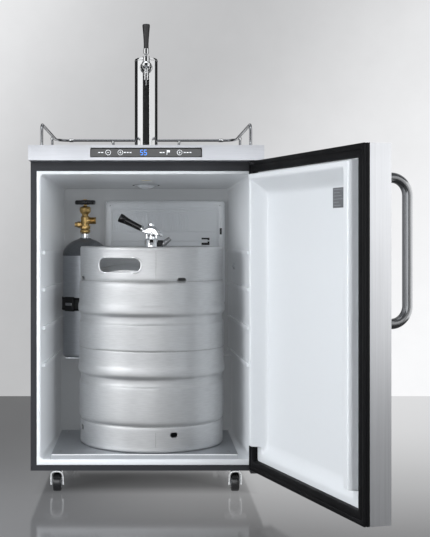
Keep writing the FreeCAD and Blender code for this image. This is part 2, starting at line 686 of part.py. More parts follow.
def door_handle():
    """A bent tube on the outer face near the free edge."""
    body = new_body("pull")
    path = sketch_on(body, "YZ_Plane", "pull_path", "door_left + grip_inset")
    face, out, bend = size.door_face, size.door_face - size.grip_off, size.grip_bend
    low, high = size.grip_low, size.grip_high
    quarter = math.pi / 2
    low_bend = Part.Circle(V(out + bend, low + bend), Z_AXIS, bend)
    high_bend = Part.Circle(V(out + bend, high - bend), Z_AXIS, bend)
    path.addGeometry(Part.LineSegment(V(face, low), V(out + bend, low)), False)
    path.addGeometry(Part.ArcOfCircle(low_bend, 2 * quarter, 3 * quarter), False)
    path.addGeometry(Part.LineSegment(V(out, low + bend), V(out, high - bend)), False)
    path.addGeometry(Part.ArcOfCircle(high_bend, quarter, 2 * quarter), False)
    path.addGeometry(Part.LineSegment(V(out + bend, high), V(face, high)), False)
    section = sketch_on(body, "XZ_Plane", "pull_section", "-door_face")
    circle(section, size.door_left + size.grip_inset, low, "grip_rad")
    sweep = body.newObject("PartDesign::AdditivePipe", "pull_sweep")
    sweep.Profile = section
    sweep.Spine = path
    open_door(body)
    keep(body, "door_handle")


def hinge_brackets():
    """Plates on the front frame that carry the fixed pins of the door."""
    pieces = []
    high_plate = "door_high - notch_deep + 1"
    for tag, plate_low, pin_low in (("low", "door_low - 4.5", "door_low - 4.5"),
                                    ("high", high_plate, high_plate + " + 3 - pin_long")):
        plate = box(f"bracket_{tag}_plate", "pin_across - 23", "-depth/2 - pin_ahead - 9", plate_low,
                    32, "pin_ahead + 9", 3)
        tab = box(f"bracket_{tag}_tab", "pin_across - 23", "-depth/2 - 3", plate_low, 32, 3, 3)
        pin = cylinder(f"bracket_{tag}_pin", "pin_across", "-depth/2 - pin_ahead", pin_low, "pin_rad",
                       "pin_long")
        pieces.append(fuse(f"bracket_{tag}", plate, tab, pin))
    group = doc.addObject("Part::Compound", "brackets")
    group.Links = pieces
    keep(group, "hinge_brackets")


# ---- casters -------------------------------------------------------------------------------------

CORNERS = {"front_left": (-1, -1), "front_right": (1, -1), "rear_left": (-1, 1), "rear_right": (1, 1)}


def casters():
    plates = []
    for tag, (right, behind) in CORNERS.items():
        x, y = f"{right}*caster_across", f"{behind}*caster_behind"
        plate = box(f"plate_{tag}", f"{x} - 29", f"{y} - 24", "base - 3", 58, 48, 3)
        boss = cylinder(f"boss_{tag}", x, y, "base - 7", 13, 7)
        bore = cylinder(f"plate_bore_{tag}", x, y, "base - 8", "swivel_rad + running", 10)
        plates.append(cut(f"plate_cut_{tag}", fuse(f"plate_sum_{tag}", plate, boss), bore))

        crown = box(f"crown_{tag}", f"{x} - fork_gap/2 - fork_leg", f"{y} - 16", "fork_top - fork_leg",
                    "fork_gap + 2*fork_leg", 36, "fork_leg")
        legs = []
        for side, start in (("a", "-fork_gap/2 - fork_leg"), ("b", "fork_gap/2")):
            legs.append(box(f"leg_{side}_{tag}", f"{x} {'+' if side == 'b' else ''} {start}", f"{y} - 4",
                            "wheel_rad - 7", "fork_leg", 24 + size.trail - 14, "fork_top - wheel_rad + 7"))
        pin = cylinder(f"king_{tag}", x, y, "fork_top - 1", "swivel_rad", "base - 1 - fork_top")
        axle = cylinder(f"axle_{tag}", f"{x} - fork_gap/2 - fork_leg", f"{y} + trail", "wheel_rad", 4,
                        "fork_gap + 2*fork_leg", X_AXIS)
        keep(fuse(f"fork_{tag}", crown, *legs, pin, axle), f"caster_fork_{tag}")

        tyre = cylinder(f"tyre_{tag}", f"{x} - wheel_wide/2", f"{y} + trail", "wheel_rad", "wheel_rad",
                        "wheel_wide", X_AXIS)
        hub = cylinder(f"hub_bore_{tag}", f"{x} - wheel_wide", f"{y} + trail", "wheel_rad",
                       "4 + running", "2*wheel_wide", X_AXIS)
        rim = doc.addObject("Part::Fillet", f"tyre_round_{tag}")
        rim.Base = tyre
        doc.recompute()
        rim.Edges = [(i + 1, 3, 3) for i, e in enumerate(tyre.Shape.Edges) if e.Closed]
        keep(cut(f"wheel_{tag}", rim, hub), f"caster_wheel_{tag}")
    group = doc.addObject("Part::Compound", "plates")
    group.Links = plates
    keep(group, "caster_plates")


# ---- keg and coupler -----------------------------------------------------------------------------

def vessel_profile(inset):
    """The closed keg body from pole to pole: level, with its rings and grooves, drawn in by a wall."""
    body, bulge, groove = (r - inset for r in (size.keg_rad, size.ring_rad, size.groove_rad))
    return [(0, 34 + inset), (90, 37 + inset), (165, 52 + inset), (body - 4, 68), (body, 76), (body, 170),
            (groove, 175), (groove, 191), (bulge, 197), (bulge, 216), (body, 222), (body, 333),
            (groove, 338), (groove, 355), (bulge, 361), (bulge, 380), (body, 386), (body, 440),
            (body - 4, 449), (186, 462 - inset), (150, 478 - inset), (90, 490 - inset), (0, 494 - inset)]


def keg():
    floor = "tray_top + keg_lift"
    body = new_body("keg", "keg_across", "-depth/2 + keg_behind", floor)
    vessel = sketch_on(body, "XZ_Plane", "vessel_outer")
    outline(vessel, vessel_profile(0))
    revolve(body, vessel)
    rim = size.chime_rad
    for tag, points in (
        ("foot", [(rim, 0), (rim, 60), (rim - 3, 74), (rim - 6, 74), (rim - 6, 60), (rim - 3.4, 56),
                  (rim - 3.4, 6), (rim - 8, 6), (rim - 8, 0)]),
        ("head", [(rim - 2, 443), (rim, 453), (rim, 534), (rim - 2.5, 540), (rim - 7, 540), (rim - 9, 536),
                  (rim - 7, 532), (rim - 3.4, 532), (rim - 3.4, 453), (rim - 5, 443)]),
    ):
        section = sketch_on(body, "XZ_Plane", "chime_" + tag)
        outline(section, points)
        revolve(body, section)
    hollow = sketch_on(body, "XZ_Plane", "vessel_inner")
    outline(hollow, vessel_profile(size.keg_wall))
    revolve(body, hollow, "PartDesign::Groove")
    mouth = sketch_on(body, "XY_Plane", "keg_mouth", 470)
    circle(mouth, 0, 0, "neck_rad")
    pocket(body, mouth, 40, backwards=True)
    for tag, turn, reach, low, wide, high, count in (("hand", -26.8, 137, 472, 130, 40, 2),
                                                     ("drain", 17, 190, 38, 22, 16, 4)):
        opening = sketch_on(body, "XZ_Plane", "keg_" + tag)
        swing = math.radians(turn)
        opening.AttachmentOffset = FreeCAD.Placement(V(reach * math.sin(swing), 0, 0),
                                                     FreeCAD.Rotation(Y_AXIS, turn))
        bind(opening, "AttachmentOffset.Base.z", reach * math.cos(swing))
        rectangle(opening, -wide / 2, low, wide / 2, low + high)
        ring(body, pocket(body, opening, 90, backwards=True), count)
        doc.recompute()
    keep(body, "keg_shell")

    neck = cylinder("neck_ring", "keg_across", "-depth/2 + keg_behind", f"{floor} + 480",
                    "neck_rad", 32)
    bore = cylinder("neck_bore", "keg_across", "-depth/2 + keg_behind", f"{floor} + 470",
                    "probe_rad + 4", 60)
    keep(cut("neck_cut", neck, bore), "keg_neck")


def coupler():
    """The locking body with its gas inlet, the sliding probe, the lever head and its grip."""
    x, y = "keg_across", "-depth/2 + keg_behind"
    stem = cylinder("coupler_stem", x, y, "coupler_low + 0.2", "coupler_rad", "coupler_high - coupler_low")
    lugs = cylinder("coupler_lugs", x, y, "coupler_low + 0.2", 27, 16)
    hexes = cylinder("coupler_nut", "keg_across + 10", y, 655, 9, 22, X_AXIS)
    barb = cone("coupler_barb", "keg_across + 30", y, 655, 6, 4, 26, V(0.78, 0, 0.62))
    bore = cylinder("coupler_bore", x, y, "coupler_low - 1", "probe_rad + running", 90)
    pivot = cylinder("coupler_pin", x, f"{y} - 23", "coupler_pivot", "pivot_rad", 46, Y_AXIS)
    crown = cylinder("coupler_crown", x, y, "coupler_high - 4", "coupler_rad", 3)
    solid = fuse("coupler_sum", stem, lugs, hexes, barb, pivot, crown)
    keep(cut("coupler_cut", solid, bore), "coupler_body")
    stalk = cylinder("probe_rod", x, y, "coupler_low + 4", "probe_rad", "probe_top - coupler_low - 4")
    head = cylinder("probe_head", x, y, "probe_top - 9", 10, 9)
    keep(fuse("probe_sum", stalk, head), "coupler_probe")

    lever = new_body("lever_arm", x, y, "coupler_pivot")
    bridge = sketch_on(lever, "XZ_Plane", "bridge_face", "-coupler_rad - 5")
    rectangle(bridge, -38, -5, -25, 9)
    pad(lever, bridge, "2*coupler_rad + 10")
    for side, lift in (("near", "coupler_rad + 1.5"), ("far", "-coupler_rad - 5")):
        cheek = sketch_on(lever, "XZ_Plane", "cheek_" + side, lift)
        outline(cheek, [(-30, -8), (16, -8), (22, -2), (22, 4), (14, 11), (2, 15), (-10, 14), (-30, 9)])
        pad(lever, cheek, 3.5)
    eye = sketch_on(lever, "XZ_Plane", "lever_eye", "-coupler_rad - 6")
    circle(eye, 0, 0, "pivot_rad + running")
    pocket(lever, eye, "2*coupler_rad + 12", backwards=True)
    lever.setExpression("Placement.Rotation.Axis.y", "1")
    lever.setExpression("Placement.Rotation.Axis.z", "0")
    bind(lever, "Placement.Rotation.Angle", "lever_angle")
    keep(lever, "coupler_lever")

    tilt = math.radians(size.lever_angle)
    grip = cone("grip_bar", "keg_across - 38.3*cos(lever_angle)", y,
                "coupler_pivot + 38.3*sin(lever_angle)", 8, 11, "lever_long - 38",
                V(-math.cos(tilt), 0, math.sin(tilt)))
    keep(grip, "coupler_grip")


# ---- gas cylinder --------------------------------------------------------------------------------

def gas_cylinder():
    x, y = "gas_across", "-depth/2 + gas_behind"
    body = new_body("bottle", x, y, 0)
    section = sketch_on(body, "XZ_Plane", "bottle_section")
    rad, low, shoulder, neck = size.gas_rad, size.gas_low, size.gas_shoulder, size.gas_neck
    turn = [(rad * math.cos(math.radians(a)), shoulder + (neck - shoulder) * math.sin(math.radians(a)))
            for a in range(15, 80, 15)]
    outline(section, [(0, low), (rad - 6, low), (rad, low + 8), (rad, shoulder)] + turn
            + [(13, neck), (13, 688), (0, 688)])
    revolve(body, section)
    inside = sketch_on(body, "XZ_Plane", "bottle_inside")
    outline(inside, [(0, low + 9), (rad - 8, low + 9), (rad - 5, low + 14), (rad - 5, shoulder)]
            + [(r * 0.92, h - 5) for r, h in turn] + [(7, neck - 4), (0, neck - 4)])
    revolve(body, inside, "PartDesign::Groove")
    keep(body, "gas_cylinder")

    collar = cylinder("valve_collar", x, y, 688, 15, 6)
    stem = cylinder("valve_stem", x, y, 694, 13, 50)
    bonnet = cylinder("valve_bonnet", x, y, 744, 16, 21)
    boss = cylinder("valve_boss", x, y, 722, 13.5, 14, X_AXIS)
    outlet = cylinder("valve_outlet", "gas_across + 14", y, 722, 10.5, 18, X_AXIS)
    plug = cylinder("valve_plug", "gas_across - 8", y, 710, 8, 24, V(-1, 0, 0))
    spindle = cylinder("valve_spindle", x, y, 765, 4, 6)
    keep(fuse("valve_sum", collar, stem, bonnet, boss, outlet, plug, spindle), "cylinder_valve")

    wheel = new_body("knob", x, y, "handwheel_low")
    disc = sketch_on(wheel, "XY_Plane", "knob_disc")
    circle(disc, 0, 0, 31)
    pad(wheel, disc, 13)
    seat = sketch_on(wheel, "XY_Plane", "knob_seat", -1)
    circle(seat, 0, 0, "pin_rad + running")
    pocket(wheel, seat, 6, backwards=True)
    scallop = sketch_on(wheel, "XY_Plane", "knob_scallop", 14)
    circle(scallop, 33, 0, 5)
    ring(wheel, pocket(wheel, scallop, 16), 8)
    doc.recompute()
    keep(wheel, "valve_handwheel")

    band = cylinder("strap_outer", x, y, "strap_mid - strap_wide/2", "gas_rad + 2", "strap_wide")
    arms = box("strap_arms", "gas_across - 30", y, "strap_mid - strap_wide/2", 60,
               "cavity_depth - gas_behind - 4", "strap_wide")
    hollow = cylinder("strap_inner", x, y, "strap_mid - strap_wide", "gas_rad", "2*strap_wide")
    keep(cut("strap_cut", fuse("strap_sum", band, arms), hollow), "cylinder_strap")
    plate = box("bracket_plate", "gas_across - 45", "-depth/2 + cavity_depth - 4", "hump_top", 90, 3, 230)
    shelf = box("bracket_shelf", "gas_across - 55", "-depth/2 + gas_behind - 50", "hump_top", 95,
                "cavity_depth - gas_behind + 49", "gas_low - hump_top")
    keep(fuse("bracket_sum", plate, shelf), "cylinder_bracket")


for build in (cabinet_wrap, front_frame, rear_panel, base_pan, inner_liner, insulation_foam, control_panel,
              worktop, floor_tray, guard_rail, tower, tap, drip_tray, evaporator, lamp_lens, machine_bay,
              door, door_handle, hinge_brackets, casters, keg, coupler, gas_cylinder):
    build()
doc.recompute()

broken = [o.Name for o in doc.Objects if {"Invalid", "Error"} & set(o.State)]
broken += [o.Label for o in parts if o.Shape.isNull() or not o.Shape.isValid()]
if broken:
    raise SystemExit(f"failed objects: {broken}")

os.makedirs("parts", exist_ok=True)
for old in os.listdir("parts"):
    os.remove(os.path.join("parts", old))
for obj in parts:
    obj.Shape.exportStep(f"parts/{obj.Label}.step")
print(len(parts), "pieces")
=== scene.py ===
"""Looks for the kegerator: the studio, the materials and the detail pieces that ride on the CAD bodies.

Lengths are in millimetres and are turned into metres where a mesh or a curve is made. Only the
studio's own places are given in metres.
"""
import json
from math import cos, degrees, hypot, pi, radians, sin

import bmesh
import bpy
from mathutils import Matrix, Vector


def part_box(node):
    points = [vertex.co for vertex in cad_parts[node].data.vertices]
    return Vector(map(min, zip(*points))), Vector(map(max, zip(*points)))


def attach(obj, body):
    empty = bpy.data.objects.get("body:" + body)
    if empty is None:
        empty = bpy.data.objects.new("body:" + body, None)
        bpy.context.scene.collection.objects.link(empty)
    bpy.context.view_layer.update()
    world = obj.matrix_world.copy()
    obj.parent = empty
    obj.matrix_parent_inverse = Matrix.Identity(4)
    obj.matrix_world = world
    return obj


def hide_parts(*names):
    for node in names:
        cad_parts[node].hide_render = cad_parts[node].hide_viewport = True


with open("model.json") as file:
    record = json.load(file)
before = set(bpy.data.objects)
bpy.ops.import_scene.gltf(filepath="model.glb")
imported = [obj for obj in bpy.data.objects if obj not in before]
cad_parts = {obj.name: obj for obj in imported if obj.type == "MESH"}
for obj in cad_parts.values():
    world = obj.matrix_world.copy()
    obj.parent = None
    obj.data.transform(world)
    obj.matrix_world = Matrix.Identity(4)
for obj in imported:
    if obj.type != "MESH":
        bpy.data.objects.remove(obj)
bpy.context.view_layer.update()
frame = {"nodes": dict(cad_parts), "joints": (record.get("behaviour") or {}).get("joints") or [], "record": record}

MM = 0.001
X, Y, Z = Vector((1, 0, 0)), Vector((0, 1, 0)), Vector((0, 0, 1))


# ---- places read from the frame ----

def low(node):
    return Vector(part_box(node)[0]) / MM


def high(node):
    return Vector(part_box(node)[1]) / MM


def mid(node):
    return (low(node) + high(node)) / 2


def foot_of(node):
    """The middle of a node's underside."""
    return Vector((*mid(node).xy, low(node).z))


def joint_place(name):
    return Vector(next(j["pos_m"] for j in frame["joints"] if j["name"] == name)) / MM


BODY_OF = {node: body for body, nodes in frame["record"]["behaviour"]["bodies"].items() for node in nodes}
FRONT = low("front_frame").y
PIN = joint_place("door_hinge")
OPEN_ANGLE = 108
DOOR = Matrix.Translation((PIN.x, PIN.y, 0)) @ Matrix.Rotation(radians(OPEN_ANGLE), 4, "Z")


# ---- shader helpers ----

def set_inputs(node, **values):
    """Set a shader node's inputs by name, with underscores for spaces."""
    for name, value in values.items():
        node.inputs[name.replace("_", " ")].default_value = value
    return node


def add_node(nodes, kind, **values):
    return set_inputs(nodes.new("ShaderNode" + kind), **values)


def node_material(name, **values):
    """A new material; returns it with its nodes, the call that links them, and its main shader."""
    mat = bpy.data.materials.new(name)
    mat.use_nodes = True
    nodes = mat.node_tree.nodes
    return mat, nodes, mat.node_tree.links.new, set_inputs(nodes["Principled BSDF"], **values)


def object_place(nodes):
    return nodes.new("ShaderNodeTexCoord").outputs["Object"]


def multiplied(nodes, link, one, two):
    """The product of two sockets, as a colour."""
    mix = nodes.new("ShaderNodeMix")
    mix.data_type = "RGBA"
    mix.blend_type = "MULTIPLY"
    mix.inputs["Factor"].default_value = 1
    link(one, mix.inputs["A"])
    link(two, mix.inputs["B"])
    return mix.outputs["Result"]


def mixed_output(nodes, link, one, two):
    """Let a material show a mix of two shaders; returns the socket for the second one's share."""
    mix = nodes.new("ShaderNodeMixShader")
    link(one, mix.inputs[1])
    link(two, mix.inputs[2])
    link(mix.outputs["Shader"], nodes["Material Output"].inputs["Surface"])
    return mix.inputs["Fac"]


# ---- materials ----

def surface(name, base, metallic=0.0, rough=0.4, grain=60, vary=0.06, rough_vary=0.06, relief=0.0,
            coat=0.0, specular=0.5, glow=None):
    """A procedural surface: noise in colour and roughness, and a fine relief.

    The grain is the noise's scale per metre, one number or three; a glow is a colour and a strength.
    """
    mat, nodes, link, shader = node_material(name, Metallic=metallic, Specular_IOR_Level=specular,
                                             Coat_Weight=coat, Coat_Roughness=0.08)
    if glow:
        set_inputs(shader, Emission_Color=(*glow[:3], 1), Emission_Strength=glow[3])
    place = object_place(nodes)
    stretch = add_node(nodes, "Mapping", Scale=grain if isinstance(grain, tuple) else (grain,) * 3)
    noise = add_node(nodes, "TexNoise", Scale=1, Detail=6)
    ramp = nodes.new("ShaderNodeValToRGB")
    for element, spot, change in zip(ramp.color_ramp.elements, (0.3, 0.7), (1 - vary, 1 + vary)):
        element.position = spot
        element.color = (*[min(1, c * change) for c in base], 1)
    cloud = add_node(nodes, "TexNoise", Scale=9, Detail=4)
    span = add_node(nodes, "MapRange", From_Min=0.3, From_Max=0.7, To_Min=max(0.02, rough - rough_vary),
                    To_Max=min(1, rough + rough_vary))
    link(place, stretch.inputs["Vector"])
    link(stretch.outputs["Vector"], noise.inputs["Vector"])
    link(noise.outputs["Fac"], ramp.inputs["Fac"])
    link(ramp.outputs["Color"], shader.inputs["Base Color"])
    link(place, cloud.inputs["Vector"])
    link(cloud.outputs["Fac"], span.inputs["Value"])
    link(span.outputs["Result"], shader.inputs["Roughness"])
    if relief:
        bump = add_node(nodes, "Bump", Strength=relief, Distance=0.0004)
        link(noise.outputs["Fac"], bump.inputs["Height"])
        link(bump.outputs["Normal"], shader.inputs["Normal"])
    return mat


def shade_by_depth(mat, near, far, darkest):
    """Darken a surface gradually from one depth to another, as shadow does in a deep cabinet."""
    nodes, link = mat.node_tree.nodes, mat.node_tree.links.new
    base = nodes["Principled BSDF"].inputs["Base Color"]
    source = base.links[0].from_socket
    split = nodes.new("ShaderNodeSeparateXYZ")
    span = add_node(nodes, "MapRange", From_Min=near * MM, From_Max=far * MM, To_Min=1, To_Max=darkest)
    link(object_place(nodes), split.inputs["Vector"])
    link(split.outputs["Y"], span.inputs["Value"])
    link(multiplied(nodes, link, source, span.outputs["Result"]), base)


STEEL = surface("brushed_stainless", (0.60, 0.61, 0.63), 1, 0.34, (260, 260, 4), 0.05, 0.05, 0.04)
PANEL = surface("panel_stainless", (0.58, 0.59, 0.62), 1, 0.38, (12, 900, 900), 0.05, 0.04, 0.2)
KEG = surface("keg_stainless", (0.66, 0.665, 0.67), 1, 0.54, (40, 40, 420), 0.05, 0.05, 0.2)
ROLLED = surface("rolled_edge", (0.80, 0.805, 0.81), 1, 0.36, 60, 0.06, 0.05, 0.1)
WELD = surface("weld_bead", (0.52, 0.52, 0.52), 1, 0.5, 400, 0.15, 0.08, 0.5)
CHROME = surface("mirror_chrome", (0.86, 0.87, 0.88), 1, 0.06, 30, 0.02, 0.02)
# The rails' chrome is darkened in its colour to paint in the shade it reflects.
SHADED_RAIL_CHROME = surface("rail_chrome_painted_shade", (0.42, 0.43, 0.45), 1, 0.12, 30, 0.06, 0.04)
# The handle's steel is darkened in its colour to paint in the shade on it.
SHADED_HANDLE_STEEL = surface("handle_steel_painted_shade", (0.17, 0.173, 0.178), 1, 0.17, (700, 700, 20), 0.08, 0.05, 0.15)
WHITE = surface("liner_plastic", (0.74, 0.765, 0.79), 0, 0.36, 500, 0.012, 0.05, 0.06)
# The deep liner has a painted glow, and painted shade that darkens it towards the back.
LINER_WITH_PAINTED_LIGHT = surface("liner_plastic_painted_glow_and_shade", (0.74, 0.765, 0.79), 0, 0.36, 500, 0.012, 0.05, 0.06,
                glow=(0.74, 0.77, 0.80, 0.07))
shade_by_depth(LINER_WITH_PAINTED_LIGHT, FRONT, FRONT + 500, 0.55)
# The cover has a painted glow that brightens it.
COVER_WITH_PAINTED_GLOW = surface("cover_plastic_painted_glow", (0.70, 0.725, 0.75), 0, 0.42, 600, 0.015, 0.05, 0.1,
                glow=(0.74, 0.77, 0.80, 0.10))
LENS = surface("lamp_plastic", (0.9, 0.92, 0.95), 0, 0.3, 300, 0.02, 0.04, 0.1)
# Painted highlight: a pale metal that glows, for edges that should look as if they catch the light.
HIGHLIGHT_EDGE = surface("painted_highlight_edge", (0.85, 0.86, 0.87), 0.3, 0.35, 90, 0.05, 0.05, 0.1,
               glow=(0.9, 0.92, 0.94, 0.28))
TRAY = surface("slate_tray", (0.46, 0.48, 0.51), 0.75, 0.38, 40, 0.03, 0.03)
CHARCOAL = surface("charcoal_paint", (0.020, 0.021, 0.025), 0, 0.45, 700, 0.12, 0.06, 0.25, specular=0.35)
CABINET = surface("cabinet_paint", (0.03, 0.031, 0.034), 0, 0.38, 900, 0.15, 0.06, 0.4)
TOP = surface("worktop_plastic", (0.025, 0.026, 0.028), 0, 0.5, 800, 0.15, 0.06, 0.5)
RUBBER = surface("seal_rubber", (0.004, 0.004, 0.0045), 0, 0.5, 500, 0.2, 0.08, 0.2, specular=0.1)
BLACK = surface("gloss_black", (0.008, 0.008, 0.009), 0, 0.14, 80, 0.1, 0.04, 0.0, coat=0.4)
TYRE = surface("caster_tyre", (0.012, 0.012, 0.013), 0, 0.24, 200, 0.1, 0.05, 0.05, specular=0.7)
GRIP = surface("satin_black", (0.004, 0.004, 0.0045), 0, 0.16, 300, 0.15, 0.06, 0.1, specular=0.6)
MATT = surface("matt_black", (0.018, 0.018, 0.019), 0, 0.55, 900, 0.2, 0.07, 0.4)
GALV = surface("galvanised", (0.56, 0.58, 0.61), 1, 0.42, 70, 0.18, 0.10, 0.1)
ALU = surface("spun_aluminium", (0.62, 0.64, 0.67), 1, 0.55, (30, 30, 500), 0.06, 0.06, 0.15)
DOME = surface("painted_dome", (0.13, 0.137, 0.148), 0.2, 0.35, 200, 0.1, 0.08, 0.15)
BRASS = surface("aged_brass", (0.62, 0.42, 0.17), 1, 0.30, 220, 0.35, 0.14, 0.3)
FINS = surface("fin_aluminium", (0.6, 0.61, 0.62), 1, 0.4, 200, 0.08, 0.08, 0.1)
FOAM = surface("foam", (0.72, 0.62, 0.36), 0, 0.9, 250, 0.12, 0.05, 0.6)
INK = surface("pale_ink", (0.72, 0.74, 0.76), 0, 0.5, 300, 0.03, glow=(0.7, 0.72, 0.75, 0.35))
PALE = surface("faded_ink", (0.30, 0.31, 0.33), 0, 0.5, 300, 0.03)
DIGIT = surface("blue_digit", (0.05, 0.25, 0.9), 0, 0.4, 300, 0.05, glow=(0.06, 0.24, 0.8, 0.75))
LABEL = surface("plain_label", (0.13, 0.135, 0.145), 0, 0.5, 300, 0.08, 0.05, 0.05)
SCREW = surface("screw_steel", (0.5, 0.5, 0.51), 1, 0.3, 300, 0.1, 0.08, 0.1)

SHOWN_IN = (
    (CABINET, "cabinet_wrap base_pan"),
    (CHARCOAL, "front_frame hinge_brackets"),
    (GALV, "rear_panel cylinder_bracket"),
    (LINER_WITH_PAINTED_LIGHT, "inner_liner"),
    (FOAM, "insulation_foam door_foam"),
    (PANEL, "control_panel"),
    (BLACK, "display_window tap_handle valve_handwheel"),
    (TOP, "worktop"),
    (TRAY, "floor_tray"),
    (SHADED_RAIL_CHROME, "rail_left rail_right rail_back rail_posts"),
    (CHROME, "tower_flange tower_column tower_cap faucet_shank faucet_body faucet_lever caster_plates"),
    (CHROME, "coupler_body coupler_probe coupler_lever"),
    (STEEL, "drip_tray drip_grille door_skin keg_neck"),
    (COVER_WITH_PAINTED_GLOW, "evaporator_cover"),
    (FINS, "evaporator_coil condenser"),
    (MATT, "evaporator_motor evaporator_fan compressor condenser_motor condenser_fan power_inlet"),
    (MATT, "hinge_bushes coupler_grip cylinder_strap"),
    (LENS, "lamp_lens"),
    (WHITE, "door_liner"),
    (RUBBER, "door_gasket"),
    (SHADED_HANDLE_STEEL, "door_handle"),
    (KEG, "keg_shell"),
    (ALU, "gas_cylinder"),
    (BRASS, "cylinder_valve"),
)
MATERIAL_OF = {name: mat for mat, names in SHOWN_IN for name in names.split()}
for node_name, node in frame["nodes"].items():
    node.data.materials.clear()
    node.data.materials.append(MATERIAL_OF.get(node_name, CHROME if "fork" in node_name else RUBBER))


# ---- mesh helpers ----

def finish_piece(obj, mat, slot, stands_in=False):
    """Give a new piece its material, smooth it by angle, and let it ride on the body of its slot's node.

    With stands_in set, it is shown instead of that node.
    """
    if obj.type == "MESH":
        obj.data.materials.clear()
        obj.data.shade_smooth()
        obj.data.set_sharp_from_angle(angle=radians(38))
    obj.data.materials.append(mat)
    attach(obj, BODY_OF[slot])
    if stands_in:
        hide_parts(slot)


def placed(name, data):
    """A new object in the scene."""
    obj = bpy.data.objects.new(name, data)
    bpy.context.scene.collection.objects.link(obj)
    return obj


def from_bmesh(name, bm, matrix=Matrix()):
    """An object from a mesh, which is moved by a matrix and then turned into metres."""
    bm.transform(Matrix.Scale(MM, 4) @ matrix)
    bmesh.ops.recalc_face_normals(bm, faces=bm.faces)
    mesh = bpy.data.meshes.new(name)
    bm.to_mesh(mesh)
    bm.free()
    return placed(name, mesh)


def soften(points, rounds=2, closed=False):
    """Cut the corners of a profile, keeping its two ends where it is open."""
    for _ in range(rounds):
        result = []
        for a, b in zip(points, points[1:] + points[:1] if closed else points[1:]):
            result.append(tuple(p * 0.75 + q * 0.25 for p, q in zip(a, b)))
            result.append(tuple(p * 0.25 + q * 0.75 for p, q in zip(a, b)))
        points = result if closed else [points[0]] + result + [points[-1]]
    return points


def skin(bm, rings, first=True, last=True):
    """Join rings of vertices with quads, and close the first and the last ring."""
    count = len(rings[0])
    for one, two in zip(rings, rings[1:]):
        for i in range(count):
            j = (i + 1) % count
            bm.faces.new((one[i], one[j], two[j], two[i]))
    if first:
        bm.faces.new(rings[0])
    if last:
        bm.faces.new(rings[-1])


def turned(profile, sides):
    """A surface of revolution about Z through (radius, height) points."""
    bm = bmesh.new()
    rings = []
    for radius, height in profile:
        if radius < 1e-6:
            rings.append([bm.verts.new((0, 0, height))])
            continue
        angles = [2 * pi * i / sides for i in range(sides)]
        rings.append([bm.verts.new((radius * cos(a), radius * sin(a), height)) for a in angles])
    for one, two in zip(rings, rings[1:]):
        for i in range(sides):
            j = (i + 1) % sides
            if len(one) == 1 and len(two) > 1:
                bm.faces.new((one[0], two[i], two[j]))
            elif len(two) == 1 and len(one) > 1:
                bm.faces.new((one[i], one[j], two[0]))
            elif len(one) > 1:
                bm.faces.new((one[i], one[j], two[j], two[i]))
    return bm


def aim(place, axis):
    """A matrix that puts local Z along an axis at a place."""
    return Matrix.Translation(place) @ Z.rotation_difference(Vector(axis).normalized()).to_matrix().to_4x4()


def lathe(name, profile, place, mat, slot, axis=Z, sides=64, rounds=0, stands_in=False):
    """A turned piece; with few sides it is a nut or another many-sided form."""
    finish_piece(from_bmesh(name, turned(soften(profile, rounds), sides), aim(place, axis)), mat, slot,
                 stands_in)


def bead_section(radius, height, half_width, half_height, steps):
    """A closed oval profile for a bead that runs round an axis."""
    return [(radius + half_width * cos(2 * pi * i / steps), height + half_height * sin(2 * pi * i / steps))
            for i in range(steps + 1)]


def tube(name, points, radius, mat, slot, cyclic=False):
    """A round bar along a smooth curve through control points."""
    curve = bpy.data.curves.new(name, "CURVE")
    curve.dimensions = "3D"
    curve.bevel_depth = radius * MM
    curve.bevel_resolution = 5
    curve.use_fill_caps = True
    spline = curve.splines.new("NURBS")
    spline.points.add(len(points) - 1)
    for point, spot in zip(spline.points, points):
        point.co = (*(Vector(spot) * MM), 1)
    spline.order_u = 3
    spline.use_endpoint_u = not cyclic
    spline.use_cyclic_u = cyclic
    spline.resolution_u = 6
    finish_piece(placed(name, curve), mat, slot)


def loop_points(left, right, bottom, top, radius, steps=8):
    """Points round a rounded rectangle, in order."""
    radius = max(radius, 0.01)
    points = []
    corners = ((right - radius, top - radius, 0), (left + radius, top - radius, 90),
               (left + radius, bottom + radius, 180), (right - radius, bottom + radius, 270))
    for cx, cz, start in corners:
        for i in range(steps + 1):
            angle = radians(start + 90 * i / steps)
            points.append((cx + radius * cos(angle), cz + radius * sin(angle)))
    return points


def lofted(loops, first=False, last=False, rounds=1):
    """Skin over rounded rectangles (left, right, bottom, top, radius, depth).

    Width runs along X, height along Z and depth along Y.
    """
    bm = bmesh.new()
    skin(bm, [[bm.verts.new((x, depth, z)) for x, z in loop_points(left, right, bottom, top, radius)]
              for left, right, bottom, top, radius, depth in soften(loops, rounds)], first, last)
    return bm


def slab(name, lowest, highest, mat, slot, edge=0.6, matrix=Matrix()):
    """A block with rounded edges, from its two corners."""
    lowest, highest = Vector(lowest), Vector(highest)
    size = highest - lowest
    bm = bmesh.new()
    bmesh.ops.create_cube(bm, size=1)
    bmesh.ops.scale(bm, vec=size, verts=bm.verts)
    bmesh.ops.translate(bm, vec=(lowest + highest) / 2, verts=bm.verts)
    bmesh.ops.bevel(bm, geom=bm.edges[:], offset=min(edge, min(size) * 0.4), segments=3, affect="EDGES",
                    profile=0.5)
    finish_piece(from_bmesh(name, bm, matrix), mat, slot)


def carved(body, tool):
    """Cut one object's shape out of another, and drop the cutter."""
    mod = body.modifiers.new("cut", "BOOLEAN")
    mod.object = tool
    mod.solver = "EXACT"
    depsgraph = bpy.context.evaluated_depsgraph_get()
    mesh = bpy.data.meshes.new_from_object(body.evaluated_get(depsgraph))
    body.modifiers.clear()
    body.data = mesh
    bpy.data.objects.remove(tool)
    return body


